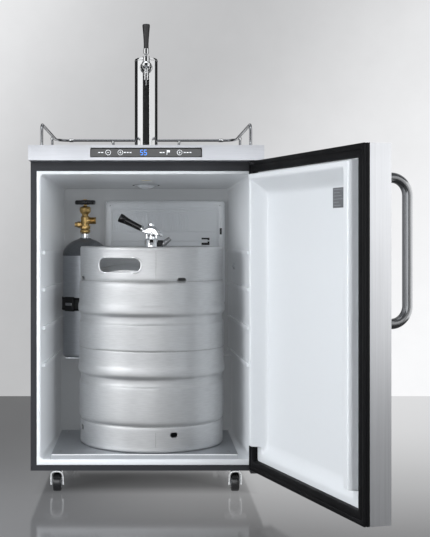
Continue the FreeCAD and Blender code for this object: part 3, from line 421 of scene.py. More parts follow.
def screw(name, place, axis, radius, mat, slot):
    """A domed screw head with a dark cross of painted shade on it, standing for its recess."""
    head = [(0, 0.9), (radius * 0.45, 0.85), (radius * 0.9, 0.45), (radius, 0), (0, -0.2)]
    lathe(name, head, place, mat, slot, axis, 32)
    # Painted shade: two thin black slabs stand for the shadow in the cross recess.
    for i in range(2):
        slab(f"{name}_cross_{i}", (-radius * 0.5, -0.25, 0.7), (radius * 0.5, 0.25, 0.95), MATT, slot, 0.1,
             aim(place, axis) @ Matrix.Rotation(i * pi / 2, 4, "Z"))


# ---- studio, in metres ----

WALL_Y = FRONT * MM + 1.807
CAMERA_DISTANCE, CAMERA_HEIGHT = 2.8435, 0.6678
FLOOR_GLOW_SHARE = 0.42


def toned(nodes, link, along, stops, tint=(1.0, 1.004, 1.014)):
    """A colour from a ramp of greys, each stop given as (place from 0 to 1, linear tone)."""
    ramp = nodes.new("ShaderNodeValToRGB")
    ramp.color_ramp.interpolation = "B_SPLINE"
    while len(ramp.color_ramp.elements) < len(stops):
        ramp.color_ramp.elements.new(0.5)
    for element, (spot, tone) in zip(ramp.color_ramp.elements, stops):
        element.position = spot
        element.color = (*[min(1, tone * t) for t in tint], 1)
    link(along, ramp.inputs["Fac"])
    return ramp.outputs["Color"]


def reach_along(nodes, link, direction, lowest, highest):
    """How far a place lies along a direction, from 0 at lowest to 1 at highest."""
    dot = nodes.new("ShaderNodeVectorMath")
    dot.operation = "DOT_PRODUCT"
    dot.inputs[1].default_value = direction
    span = add_node(nodes, "MapRange", From_Min=lowest, From_Max=highest)
    link(object_place(nodes), dot.inputs[0])
    link(dot.outputs["Value"], span.inputs["Value"])
    return span.outputs["Result"]


def backdrop(name, rough, specular):
    """A painted surface that glows softly by itself."""
    return node_material(name, Roughness=rough, Specular_IOR_Level=specular,
                         Base_Color=(0.07, 0.07, 0.072, 1), Emission_Strength=1)


def wall_painted_light():
    """Painted light and shade that glows by itself: pale at the upper left, greyer in a slanting band, brightest
    at the lower right; clear from behind.
    """
    mat, nodes, link, shader = backdrop("wall_painted_light", 0.9, 0.1)
    stops = [(0.0, 0.80), (0.09, 0.72), (0.17, 0.60), (0.25, 0.52), (0.31, 0.485), (0.38, 0.47), (0.45, 0.49),
             (0.55, 0.60), (0.65, 0.71), (0.76, 0.80), (0.88, 0.88), (1.0, 0.92)]
    tone = toned(nodes, link, reach_along(nodes, link, (0.865, 0, -0.5), -1.45, 1.0), stops)
    blotch = add_node(nodes, "TexNoise", Scale=5, Detail=8, Roughness=0.7)
    span = add_node(nodes, "MapRange", To_Min=0.93, To_Max=1.05)
    link(object_place(nodes), blotch.inputs["Vector"])
    link(blotch.outputs["Fac"], span.inputs["Value"])
    link(multiplied(nodes, link, tone, span.outputs["Result"]), shader.inputs["Emission Color"])
    clear = nodes.new("ShaderNodeBsdfTransparent")
    share = mixed_output(nodes, link, shader.outputs["BSDF"], clear.outputs["BSDF"])
    link(nodes.new("ShaderNodeNewGeometry").outputs["Backfacing"], share)
    return mat


def floor_painted_light():
    """A smooth grey floor with painted light, shade and reflections: dark at the left, and at the right bright by
    the wall and darker in front.

    It has a painted shadow under the cabinet, and its glow share is painted light that glows by itself and mirrors
    nothing.
    """
    mat, nodes, link, shader = backdrop("floor_painted_light", 0.1, 0.5)
    depth = reach_along(nodes, link, (0, 1, 0), -1.0, WALL_Y)
    left = toned(nodes, link, depth, [(0, 0.17), (0.14, 0.15), (0.31, 0.11), (0.465, 0.05), (0.67, 0.02),
                                      (1, 0.01)], (0.97, 1.0, 1.05))
    right = toned(nodes, link, depth, [(0, 0.05), (0.14, 0.13), (0.22, 0.22), (0.31, 0.30), (0.465, 0.42),
                                       (0.67, 0.52), (1, 0.52)])
    across = reach_along(nodes, link, (1, 0, 0), -0.45, 0.75)
    spread = toned(nodes, link, across, [(0, 0), (0.17, 0.08), (0.3, 0.55), (0.42, 0.85), (0.6, 1), (1, 1)],
                   (1, 1, 1))
    mix = nodes.new("ShaderNodeMix")
    mix.data_type = "RGBA"
    link(spread, mix.inputs["Factor"])
    link(left, mix.inputs["A"])
    link(right, mix.inputs["B"])
    # Painted shadow: the floor's tone is darkened inside the cabinet's outline.
    under = nodes.new("ShaderNodeMath")
    under.operation = "MAXIMUM"
    near, far = low("cabinet_wrap") * MM, high("cabinet_wrap") * MM
    for i, direction in enumerate(((1, 0, 0), (0, 1, 0))):
        edge = toned(nodes, link, reach_along(nodes, link, direction, near[i], far[i]),
                     [(0, 1), (0.16, 0.25), (0.5, 0.12), (0.84, 0.25), (1, 1)], (1, 1, 1))
        link(edge, under.inputs[i])
    shade = multiplied(nodes, link, mix.outputs["Result"], under.outputs["Value"])
    floor_glow = nodes.new("ShaderNodeEmission")
    link(shade, shader.inputs["Emission Color"])
    link(shade, floor_glow.inputs["Color"])
    mixed_output(nodes, link, shader.outputs["BSDF"], floor_glow.outputs["Emission"]).default_value = FLOOR_GLOW_SHARE
    return mat


def plane(name, corners, mat):
    """A studio surface, whose front is the side that its corners run anticlockwise on."""
    mesh = bpy.data.meshes.new(name)
    mesh.from_pydata(corners, [], [range(len(corners))])
    mesh.materials.append(mat)
    obj = placed(name, mesh)
    return obj


def card(name, start, end, low_z, high_z, tone, foot=1.0):
    """An upright card that only mirrors see, between two points on the floor plan, darker at its foot."""
    mat, nodes, link, shader = node_material(name, Base_Color=(0.01, 0.01, 0.01, 1), Roughness=1,
                                             Emission_Strength=tone)
    height = reach_along(nodes, link, (0, 0, 1), low_z, high_z)
    link(toned(nodes, link, height, [(0, foot), (1, 1.0)]), shader.inputs["Emission Color"])
    obj = plane(name, [(*start, low_z), (*end, low_z), (*end, high_z), (*start, high_z)], mat)
    obj.visible_camera = obj.visible_diffuse = obj.visible_shadow = obj.visible_transmission = False


def area(name, place, target, size, power, lights="all"):
    """A soft light for all surfaces, or only for matt or for metal ones."""
    light = bpy.data.lights.new(name, "AREA")
    light.shape = "RECTANGLE"
    light.size, light.size_y = size
    light.energy = power
    light.color = (0.97, 0.985, 1.0)
    obj = placed(name, light)
    obj.location = place
    obj.rotation_euler = (Vector(target) - Vector(place)).to_track_quat("-Z", "Y").to_euler()
    obj.visible_glossy = lights != "matt"
    obj.visible_diffuse = lights != "metal"


def tower_cards():
    """Dark and bright cards that give the chrome tower its upright bands."""
    x, y = mid("tower_column").xy * MM
    for name, x0, y0, x1, y1, foot, tone in (
            ("front", -0.40, -0.62, 0.40, -0.62, 0.955, 0.0),
            ("left", -0.42, -0.60, -0.80, 0.04, 0.92, 0.95),
            ("right", 0.42, -0.60, 0.80, 0.10, 0.92, 0.80),
            ("left_back", -0.80, 0.06, -0.12, 1.15, 0.92, 0.0),
            ("right_back", 0.80, 0.12, 0.12, 1.15, 0.92, 0.0)):
        card(f"card_{name}", (x + x0, y + y0), (x + x1, y + y1), foot, 1.9, tone)


def door_cards():
    """Cards that shade the steel edge of the open door and give its handle a bright side."""
    x, y = mid("door_handle").xy * MM
    card("card_edge", (1.5, -2.75), (3.0, -1.7), 0.02, 1.6, 2.3, 0.24)
    card("card_pull", (x + 0.35, y - 0.19), (x + 0.30, y + 0.30), 0.38, 0.92, 3.0)


def studio():
    plane("wall", [(-6, WALL_Y, -0.02), (6, WALL_Y, -0.02), (6, WALL_Y, 5), (-6, WALL_Y, 5)], wall_painted_light())
    plane("floor", [(-6, -6, 0), (6, -6, 0), (6, WALL_Y, 0), (-6, WALL_Y, 0)], floor_painted_light())
    world = bpy.data.worlds.new("studio")
    world.use_nodes = True
    set_inputs(world.node_tree.nodes["Background"], Color=(0.93, 0.96, 1.0, 1), Strength=0.33)
    bpy.context.scene.world = world
    area("key_left", (-2.9, -2.3, 1.4), (0.1, -0.2, 0.5), (1.8, 2.4), 52)
    area("key_right", (2.7, -2.6, 1.6), (-0.1, 0, 0.5), (1.4, 1.9), 8, "metal")
    area("overhead", (-0.2, -1.2, 3.0), (0, -0.2, 0.4), (2.4, 1.6), 14)
    area("front_fill", (-0.55, -4.4, 0.45), (0, 0, 0.4), (3.0, 3.0), 60, "metal")
    area("soft_left", (-2.3, -2.1, 0.7), (0.2, -0.1, 0.4), (1.4, 1.2), 34, "matt")
    area("soft_right", (1.7, -2.7, 0.9), (-0.27, -0.1, 0.45), (1.0, 1.4), 62, "matt")
    area("soft_low", (-0.75, -1.9, 0.3), (0.28, 0, 0.3), (0.7, 0.5), 3, "matt")
    tower_cards()
    door_cards()


def camera():
    """A level camera, off to the left of its own picture centre by lens shift."""
    data = bpy.data.cameras.new("camera")
    data.sensor_width = 36
    data.lens = 73.44
    data.shift_x = 0.1282
    data.shift_y = -0.0553
    obj = placed("camera", data)
    obj.location = (0, FRONT * MM - CAMERA_DISTANCE, CAMERA_HEIGHT)
    obj.rotation_euler = (radians(90), 0, 0)
    bpy.context.scene.camera = obj
    bpy.context.scene.view_settings.view_transform = "Standard"


studio()
camera()


# ---- keg ----

KEG_FOOT = foot_of("keg_shell")
KEG_AXIS = KEG_FOOT.xy.to_3d()
HAND_HOLES = {"front": -26.8, "back": 153.2}
HAND_HOLE_HEIGHT = 491
DRAIN_HOLES = (17, 107, 197, 287)
DRAIN_HEIGHT = 46
SEAM_ANGLE = 3
COUPLER_PIVOT = 682
LEVER_TILT = 27


def keg_spot(angle, radius, height):
    """A point on the keg, its angle in degrees to the right of the front."""
    swing = radians(angle)
    return KEG_FOOT + Vector((radius * sin(swing), -radius * cos(swing), height))


def stadium(wide, tall, steps=14):
    """Points round a slot with half-round ends."""
    reach, rad = wide / 2 - tall / 2, tall / 2
    points = []
    for start, side in ((-90, 1), (90, -1)):
        for i in range(steps + 1):
            angle = radians(start + 180 * i / steps)
            points.append((side * reach + rad * cos(angle), rad * sin(angle)))
    return points


def add_cutter(bm, angle, height, wide, tall, near):
    """Add a slot-shaped prism that points out from the keg's axis, past its skin."""
    turn = Matrix.Rotation(radians(angle), 4, "Z")
    skin(bm, [[bm.verts.new(turn @ Vector((x, -depth, height + z))) for x, z in stadium(wide, tall)]
              for depth in (near, 230)])


def slot_rim(name, angle, height, radius, outline, thickness, mat):
    """A round edge that follows a slot's outline round the keg."""
    rim = [keg_spot(angle + degrees(x / radius), radius, height + z) for x, z in outline]
    tube(name, rim, thickness, mat, "keg_shell", True)


def groove(z):
    """The profile of one rolled groove, with the rib above it."""
    return [(201, z - 12), (200.6, z - 8), (198.4, z - 4.5), (197, z), (197, z + 12), (198.6, z + 16),
            (202.6, z + 20), (204, z + 25), (204, z + 35), (203, z + 41), (201, z + 46)]


def keg():
    """The pressed and welded shell, with rolled chimes, hand holes and drain holes."""
    outer = [(0, 34), (90, 37), (165, 52), (188, 62), (194.4, 58), (194.4, 10), (192, 6), (190, 3),
             (191.5, 0), (196, 0), (198.2, 3), (198.4, 8), (198, 12), (198, 61), (197, 65), (196.4, 67),
             (197, 69), (199.5, 73), (201, 80)]
    outer += groove(177) + [(201, 258), (201, 262.4), (200.2, 264), (200.2, 266), (201, 267.6), (201, 272)]
    outer += groove(341) + [(201, 432), (200.4, 440), (198.6, 445), (196.4, 448), (197.2, 451), (198, 455),
                            (198, 527), (198.6, 531), (198.4, 536), (196, 539.6), (192, 540), (190, 537),
                            (191, 533.5), (194, 531), (194.4, 526), (194.4, 466), (193, 459), (189, 458),
                            (180, 464), (150, 477.5), (90, 489.5), (40, 493.4), (0, 494)]
    cuts = bmesh.new()
    for angle in HAND_HOLES.values():
        add_cutter(cuts, angle, HAND_HOLE_HEIGHT, 128, 40, 150)
    for angle in DRAIN_HOLES:
        add_cutter(cuts, angle, DRAIN_HEIGHT, 22, 15, 191)
    add_cutter(cuts, 23.2, 452, 27, 13, 150)
    add_cutter(cuts, -72, 452, 30, 14, 150)
    body = carved(from_bmesh("keg_skin", turned(soften(outer, 2), 240)), from_bmesh("keg_cuts", cuts))
    body.data.transform(Matrix.Translation(KEG_FOOT * MM))
    finish_piece(body, KEG, "keg_shell", stands_in=True)

    for tag, angle in HAND_HOLES.items():
        slot_rim(f"keg_hand_rim_{tag}", angle, HAND_HOLE_HEIGHT, 196.8, stadium(129, 41, 16), 2.6, ROLLED)
    for angle in DRAIN_HOLES:
        slot_rim(f"keg_drain_rim_{angle}", angle, DRAIN_HEIGHT, 196.6, stadium(22, 15, 10), 1.2, WELD)
    for tag, heights in (("head", range(456, 530, 12)), ("foot", range(14, 62, 8))):
        seam = [keg_spot(SEAM_ANGLE, 197.7, height) for height in heights]
        tube(f"keg_{tag}_seam", seam, 0.9, WELD, "keg_shell")
    for tag, radius, height in (("foot", 196.6, 67.3), ("middle", 200.3, 265), ("head", 196.8, 448)):
        lathe(f"keg_weld_{tag}", bead_section(radius, height, 0.9, 1.1, 10), KEG_FOOT, WELD, "keg_shell",
              sides=200)


def coupler():
    """Chrome locking collar, domed lever head on its pivot, flared grip and the side gas inlet."""
    foot = low("coupler_body").z
    collar = [(7.2, 0), (24, 0), (27, 2), (27, 9), (25, 13), (22, 15), (19.4, 16), (19.4, 46), (18, 48),
              (8.8, 48), (8.8, 64), (8.4, 65), (7.2, 65), (7.2, 0)]
    lathe("coupler_collar", collar, KEG_AXIS + Z * foot, CHROME, "coupler_body", sides=10, stands_in=True)
    neck = [(7.2, 0), (27.6, 0), (27.6, 3), (26, 4), (7.2, 4), (7.2, 0)]
    lathe("coupler_neck_ring", neck, KEG_AXIS + Z * (foot + 3), MATT, "coupler_body", rounds=1)
    inlet = KEG_AXIS + Vector((16, 0, 654))
    nut = [(0, 0), (9, 0), (10, 1.4), (10, 15), (9, 16.4), (0, 16.4)]
    lathe("gas_inlet_nut", nut, inlet, MATT, "coupler_body", X, sides=6)
    barb = [(0, 0), (8.2, 0), (8.6, 1), (8.6, 12), (7.6, 13.4), (7.6, 15)]
    for i in range(3):
        barb += [(7.8 - i * 0.2, 17 + 4 * i), (6.2 - i * 0.2, 20.4 + 4 * i)]
    barb += [(5.6, 30), (0, 30)]
    lathe("gas_inlet_barb", barb, inlet + Vector((13, 0, -4)), SCREW, "coupler_body", (0.77, 0, 0.64), 32)
    pivot = KEG_AXIS + Z * COUPLER_PIVOT
    for side in (-1, 1):
        lathe(f"coupler_pivot_{side + 1}", [(0, 0), (5, 0), (5, 1.4), (3.6, 2.8), (0, 3)],
              pivot + Y * side * 20.2, SCREW, "coupler_lever", Y * side, 24)

    hub = Matrix.Translation(pivot)
    outline = soften([(-27, 1), (-27, 9), (-22, 14), (-16, 19), (-8, 22.5), (2, 22.5), (12, 18), (20, 11),
                      (27, 2), (31, -6), (26, -9), (20, -5), (12, 1), (4, 3), (-8, 2)], 2, True)
    for side in (-1, 1):
        bm = bmesh.new()
        skin(bm, [[bm.verts.new((x * size, side * depth, z * size + 2 * (1 - size))) for x, z in outline]
                  for depth, size in ((16.4, 1), (18, 1), (20, 0.93), (21.4, 0.72), (21.8, 0.4))])
        cheek = from_bmesh(f"lever_cheek_{side + 1}", bm, hub)
        finish_piece(cheek, CHROME, "coupler_lever", stands_in=side < 0)
    for side in (-1, 1):
        slab(f"coupler_yoke_{side + 1}", (13.4 * side - 2.2, -13, -18), (13.4 * side + 2.2, 13, -1), CHROME,
             "coupler_body", 1, hub)
    slab("lever_bridge", (-27, -19, 6), (-20, 19, 14), CHROME, "coupler_lever", 3, hub)
    slab("lever_crown", (-12, -19, 17), (4, -8, 21.6), CHROME, "coupler_lever", 1.5, hub)
    grip = [(0, 0), (7.4, 0), (8, 1.6), (8, 12), (8.6, 30), (9.6, 46), (10.8, 58), (12, 62), (12.4, 70),
            (11.4, 72.4), (6, 73.2), (0, 73.4)]
    along = Matrix.Rotation(radians(LEVER_TILT), 3, "Y") @ -X
    start = pivot + along * 28
    lathe("lever_grip", grip, start, GRIP, "coupler_grip", along, 48, 1, True)
    lathe("lever_ferrule", [(0, 0), (8.2, 0), (8.6, 2), (8.2, 6), (0, 6)], start + along * 0.5, CHROME,
          "coupler_grip", along, 40, 1)
    top = high("coupler_probe").z
    lathe("probe_nut", [(0, 0), (9, 0), (10, 1), (10, 8), (9, 9), (6, 9), (0, 9)],
          KEG_AXIS + Z * (top - 9.02), SCREW, "coupler_probe", sides=6)
    lathe("probe_seal", [(0, 0), (6.6, 0), (6.6, 1.2), (0, 1.2)], KEG_AXIS + Z * (top - 0.9), MATT,
          "coupler_probe")


keg()
coupler()


# ---- gas cylinder ----

WHEEL_RADIUS, LOBES, LOBE_DEPTH = 31, 8, 3.4


def handwheel(place):
    """A lobed wheel with a dished top."""
    bm = bmesh.new()
    steps, rings = 128, []
    for height, inset in ((0, 3), (1, 1), (3, 0), (10, 0), (12, 1), (13, 3.4), (13, 9), (10.6, 11),
                          (10.6, 17),
                          (13, 18.6), (13, 30)):
        ring = []
        for angle in (2 * pi * i / steps for i in range(steps)):
            lobe = LOBE_DEPTH * max(0, cos(LOBES * angle)) ** 2 if inset < 9 else 0
            reach = max(0.3, WHEEL_RADIUS - lobe - inset)
            ring.append(bm.verts.new((reach * cos(angle), reach * sin(angle), height)))
        rings.append(ring)
    skin(bm, rings)
    finish_piece(from_bmesh("handwheel_lobes", bm, aim(place, Z)), BLACK, "valve_handwheel", stands_in=True)
    lathe("handwheel_nut", [(0, 0), (5, 0), (5.4, 0.5), (5.4, 2.6), (4.8, 3.2), (0, 3.2)], place + Z * 13,
          BRASS, "valve_handwheel", sides=6)


def gas():
    """A spun cylinder with a painted shoulder, a brass valve, a safety plug and a lobed handwheel."""
    foot = mid("gas_cylinder")
    foot.z = 0
    rad = (high("gas_cylinder").x - low("gas_cylinder").x) / 2

    def part(name, profile, mat=BRASS, slot="cylinder_valve", **more):
        lathe(name, profile, foot, mat, slot, **more)

    side = [(0, 326), (rad - 16, 325), (rad - 9, 321), (rad - 4, 321.4), (rad - 0.6, 327), (rad, 334),
            (rad, 618)]
    part("bottle_side", side, ALU, "gas_cylinder", sides=128, rounds=2, stands_in=True)
    arc = [(rad * cos(radians(a)), 619 + 50 * sin(radians(a))) for a in range(5, 75, 5)]
    part("bottle_dome", [(rad, 618)] + arc + [(18, 668), (15, 670), (0, 670)], DOME, "gas_cylinder",
         sides=128)
    part("bottle_neck", [(0, 668), (14, 668), (14, 672), (12.6, 673), (12.6, 686), (0, 686)], CHROME,
         "gas_cylinder", rounds=1)
    part("bottle_collar", [(0, 686), (14, 686), (15, 687), (15, 692.6), (14, 694), (0, 694)], rounds=1)
    part("valve_body", [(0, 694), (12, 694), (13, 696), (13, 703), (12, 705), (12, 712), (13, 716), (13, 728),
                        (12, 733), (9.4, 736), (9.4, 740), (12, 744), (0, 744)], sides=40, rounds=1,
                        stands_in=True)
    part("valve_hex", [(0, 697), (14.2, 697), (15, 698), (15, 706), (14.2, 707), (0, 707)], sides=6)
    part("valve_bonnet", [(0, 743), (13, 743), (14.4, 745), (16.4, 749), (16.4, 760), (15, 762), (9, 764),
                          (5, 765), (5, 770), (0, 770)], sides=8)
    outlet = [(0, 0), (12, 0), (12, 11), (10.5, 12)]
    for z in range(0, 16, 2):
        outlet += [(10.5, 13.4 + z), (9.7, 14.2 + z), (10.5, 15 + z)]
    outlet += [(9.6, 31.6), (5, 31.8), (4.6, 26), (0, 26)]
    lathe("valve_outlet", outlet, foot + Z * 722, BRASS, "cylinder_valve", X, 48)
    plug = [(0, 0), (6, 0), (6, 12), (9, 12.6), (9.2, 21), (8, 22), (7.4, 24), (6.6, 26), (6.4, 30),
            (0, 30.6)]
    lathe("valve_plug", plug, foot + Z * 710 - X, BRASS, "cylinder_valve", -X, sides=6)
    wire = ((19, 690), (23, 693), (23.5, 701), (20, 708), (13, 711), (9, 712))
    tube("valve_seal_wire", [foot + X * x + Z * z for x, z in wire], 0.9, SCREW, "cylinder_valve")
    handwheel(foot + Z * low("valve_handwheel").z)
    strap_low, strap_high = low("cylinder_strap").z, high("cylinder_strap").z
    for level in (strap_low + 4, strap_high - 4):
        stitch = bead_section(rad + 2, level, 0.7, 1.2, 8)
        part(f"strap_stitch_{round(level)}", stitch, RUBBER, "cylinder_strap", sides=96)
    middle = foot + Z * (strap_low + strap_high) / 2
    buckle = Matrix.Translation(middle) @ Matrix.Rotation(radians(-38), 4, "Z")
    slab("strap_buckle", (-17, -rad - 6.5, -21), (17, 1 - rad, 21), MATT, "cylinder_strap", 2, buckle)
    slab("strap_buckle_bar", (-13, -rad - 8, -4), (13, -rad - 5, 4), SCREW, "cylinder_strap", 1, buckle)


gas()


# ---- door ----

LEFT, RIGHT, BOTTOM, HIGH = -589, 7, 75, 866
FLANGE, RIDGE = 14, 42


def smooth_least(a, b, blend):
    """The lesser of two heights, with the crease between them rounded."""
    h = max(blend - abs(a - b), 0) / blend
    return min(a, b) - h * h * blend / 4


def inside_distance(x, z, left, right, bottom, top, radius):
    """How far a point lies inside a rounded rectangle; negative outside."""
    dx = abs(x - (left + right) / 2) - (right - left) / 2 + radius
    dz = abs(z - (bottom + top) / 2) - (top - bottom) / 2 + radius
    return radius - hypot(max(dx, 0), max(dz, 0)) - min(max(dx, dz), 0)


def moulding_height(x, z):
    """Depth of the door's inner face: ridges on three sides, a recess, and a ramp at the foot."""
    edge = inside_distance(x, z, -550, -22.5, 139, 836, 4)
    dike = smooth_least(-1 + edge * 10.75, RIDGE, 9)
    face = -smooth_least(-dike, -FLANGE - 0.1, 5)
    free, hinge = (x + 514) * 44 / 12, (-51 - x) * 44 / 15
    top, foot = (785 - z) * 44 / 33, (z - 140) * 44 / 53
    walls = smooth_least(smooth_least(free, hinge, 8), smooth_least(top, foot, 14), 14)
    recess = -smooth_least(walls + 0.9, 0, 12) - 0.8
    return smooth_least(face, recess, 5)


def spaced(start, end, gap):
    count = max(1, round(abs(end - start) / gap))
    return [start + (end - start) * i / count for i in range(count)]


def inner_moulding():
    """A fine sheet over the door's inner face, meshed closest where it bends."""
    xs = spaced(-567, -505, 1.5) + spaced(-505, -64, 12) + spaced(-64, -15, 1.5) + [-15]
    zs = spaced(97, 158, 2.2) + spaced(158, 774, 14) + spaced(774, 844, 1.5) + [844]
    bm = bmesh.new()
    grid = [[bm.verts.new((x, moulding_height(x, z), z)) for x in xs] for z in zs]
    for one, two in zip(grid, grid[1:]):
        for i in range(len(xs) - 1):
            bm.faces.new((one[i], one[i + 1], two[i + 1], two[i]))
    finish_piece(from_bmesh("door_inner_moulding", bm, DOOR), WHITE, "door_liner", stands_in=True)


def seal():
    """The black seal round the door's inner face, with a groove in it and room for the hinge brackets."""
    section = ((1.5, 14, 2), (0.6, 15, 2), (0, 16.5, 3), (0, 19.4, 3), (1.6, 20.4, 3), (1.6, 21.6, 3),
               (0, 22.6, 4), (0, 25.6, 4), (1.2, 26.8, 5), (3, 27.2, 5), (9, 27.2, 6), (10.6, 26, 6),
               (12.2, 26, 6), (13.8, 27.2, 6), (24, 27.2, 7), (26.6, 26.4, 7), (28, 24.6, 7), (28.4, 18, 7),
               (28.6, 14, 7))
    loops = [(LEFT + inset, RIGHT - inset, BOTTOM + inset, HIGH - inset, radius, y)
             for inset, y, radius in section]
    bm = lofted(loops + loops[:1])
    bmesh.ops.remove_doubles(bm, verts=bm.verts, dist=1e-3)
    notches = bmesh.new()
    for foot, head in ((BOTTOM - 6, BOTTOM + 9), (HIGH - 9, HIGH + 6)):
        room = Matrix.LocRotScale(Vector((RIGHT - 12, 20, (foot + head) / 2)), None,
                                  Vector((48, 24, head - foot)))
        bmesh.ops.create_cube(notches, size=1, matrix=room)
    ring = carved(from_bmesh("door_seal_ring", bm, DOOR), from_bmesh("door_notches", notches, DOOR))
    finish_piece(ring, RUBBER, "door_gasket", stands_in=True)


def door_details():
    """The plain rating label, the hinge caps and the handle's collars."""
    slab("rating_label", (-456, -1.2, 736), (-400, -0.2, 783), LABEL, "door_liner", 0.3, DOOR)
    for row, width in enumerate((40, 28, 36, 42, 24, 34)):
        z = 776 - row * 7
        slab(f"rating_line_{row}", (-404 - width, -0.4, z), (-404, 0, z + 0.9), PALE, "door_liner", 0.2, DOOR)
    slab("door_top_cap", (-31, -35, 846), (6.6, 26, 857.8), MATT, "door_gasket", 1.5, DOOR)
    slab("door_foot_cap", (-31, -35, 73.6), (6.6, 26, 75.4), MATT, "door_gasket", 0.6, DOOR)
    collar = [(0, 0), (14, 0), (14.6, 1), (14.4, 3.4), (12.6, 5), (11.2, 5.4), (11.2, 0), (0, 0)]
    for tag, level in (("low", 489), ("high", 796)):
        lathe(f"handle_collar_{tag}", collar, DOOR @ Vector((-559, -36, level)), SHADED_HANDLE_STEEL, "door_handle",
              DOOR.to_3x3() @ -Y, 48)


inner_moulding()
seal()
door_details()


# ---- control panel ----

def control_panel():
    """The glass window with its touch marks and the two-digit temperature."""
    face, bottom = low("display_window").y, low("display_window").z
    half, top = high("display_window").x, high("display_window").z
    mid_z = (bottom + top) / 2
    loops = [(inset - half, half - inset, bottom + inset, top - inset, 5, face + y)
             for inset, y in ((0.1, 2.6), (0.1, 0.2), (0.5, -0.1), (3, -0.15))]
    finish_piece(from_bmesh("window_glass", lofted(loops, True, True, 0)), BLACK, "display_window",
                 stands_in=True)
    front = face - 0.35

    def bar(name, x, z, wide, tall, mat=INK):
        slab(name, (x - wide / 2, front, z - tall / 2), (x + wide / 2, front + 0.3, z + tall / 2), mat,
             "display_window", 0.1)

    for i, x in enumerate((-96.5, -65.5, 85)):
        ring = [(u, front, v) for u, v in bead_section(x, mid_z, 6.3, 6.3, 16)[:-1]]
        tube(f"key_ring_{i}", ring, 0.55, INK, "display_window", True)
        bar(f"key_mark_{i}", x, mid_z, 5, 1.2)
        bar(f"key_mark_tall_{i}", x, mid_z, 1.2, 5 if i else 1.3)
    bar("flag_staff", 53, mid_z, 1.1, 12)
    bar("flag_cloth", 57, mid_z + 3, 7, 5.6)
    for i, (left, right) in enumerate(((-122, -107), (-57, -39), (34, 49), (95, 119))):
        for k in range(3 if right - left > 16 else 2):
            bar(f"word_bar_{i}_{k}", left + 3 + k * 7.2, mid_z, 5.4, 2.2)
    lit = {"top": (0, 6, 5.6, 1.5), "middle": (0, 0, 5.6, 1.5), "foot": (0, -6, 5.6, 1.5),
           "left": (-3, 3, 1.5, 5), "right": (3, -3, 1.5, 5)}
    for digit, x in enumerate((-11.4, -2)):
        for part, (dx, dz, wide, tall) in lit.items():
            bar(f"digit_{digit}_{part}", x + dx, mid_z + dz, wide, tall, DIGIT)


control_panel()


# ---- evaporator cover, lamp and cabinet fittings ----

def evaporator_cover():
    """A moulded cover with a raised field, fine vents and two slots."""
    left, face, bottom = low("evaporator_cover")
    right, wall, top = high("evaporator_cover")
    shape = [(left + inset, right - inset, bottom + inset, top - inset, radius, y) for inset, y, radius in (
        (0, wall, 10), (0, face + 12, 10), (1.5, face + 4, 11), (6, face + 0.6, 12), (14, face + 0.2, 12),
        (17, face + 2.2, 12), (20, face + 2.4, 12), (23, face + 0.4, 12))]
    moulding = from_bmesh("cover_moulding", lofted(shape, last=True))
    finish_piece(moulding, COVER_WITH_PAINTED_GLOW, "evaporator_cover", stands_in=True)

    def mark(name, x0, z0, x1, z1, proud, sunk, mat, edge):
        slab(f"cover_{name}", (x0, face - proud, z0), (x1, face + sunk, z1), mat, "evaporator_cover", edge)

    for i in range(46):
        x = -100 + i * 5
        mark(f"rib_{i}", x - 1.2, 692, x + 1.2, 744, 2, 1, COVER_WITH_PAINTED_GLOW, 0.9)
    for i in range(5):
        z = 750 + i * 5.4
        mark(f"groove_{i}", -98, z, 208, z + 2.4, 1.8, 1, COVER_WITH_PAINTED_GLOW, 0.9)
    for i, z in enumerate((660, 688)):
        mark(f"bead_{i}", -104, z, 214, z + 3.4, 2.4, 1, COVER_WITH_PAINTED_GLOW, 1.2)
    for name, *corners in (("key", 167, 666, 191, 671), ("key_leg", 185, 655, 191, 668),
                           ("bar", 167, 649, 191, 656), ("tab", 222, 681, 228, 700)):
        mark(f"slot_{name}", *corners, 0.3, 0.8, MATT, 0.6)
    for i, (x, z) in enumerate(((-108, 768), (222, 768), (-108, 490), (222, 490))):
        screw(f"cover_screw_{i}", (x, face + 0.2, z), -Y, 4, COVER_WITH_PAINTED_GLOW, "evaporator_cover")


def mouth_and_tray():
    """The rounded lip of the liner's mouth, and the tray's screws and the painted highlight along its front edge.
    """
    lip = [(-half, half, bottom, top, radius, FRONT + y) for half, bottom, top, radius, y in (
        (284, 81, 843.5, 4, -0.1), (283, 82, 842.5, 5, -0.8), (279, 88, 839, 7, -1.3),
        (276, 93.5, 836.6, 9, -0.4),
        (274.6, 95.4, 835.4, 10, 2.4))]
    finish_piece(from_bmesh("mouth_bead", lofted(lip)), WHITE, "inner_liner")
    left, front, _ = low("floor_tray")
    right, back, top = high("floor_tray")
    for i, x in enumerate((left + 22, right - 22)):
        for tag, y in (("", front + 48), ("rear_", back - 30)):
            screw(f"tray_screw_{tag}{i}", (x, y, top), Z, 5, SCREW, "floor_tray")
    tube("tray_front_edge_highlight", [(x, front + 0.6, top - 0.2) for x in (left + 1, 0, right - 1)], 1.1, HIGHLIGHT_EDGE,
         "floor_tray")


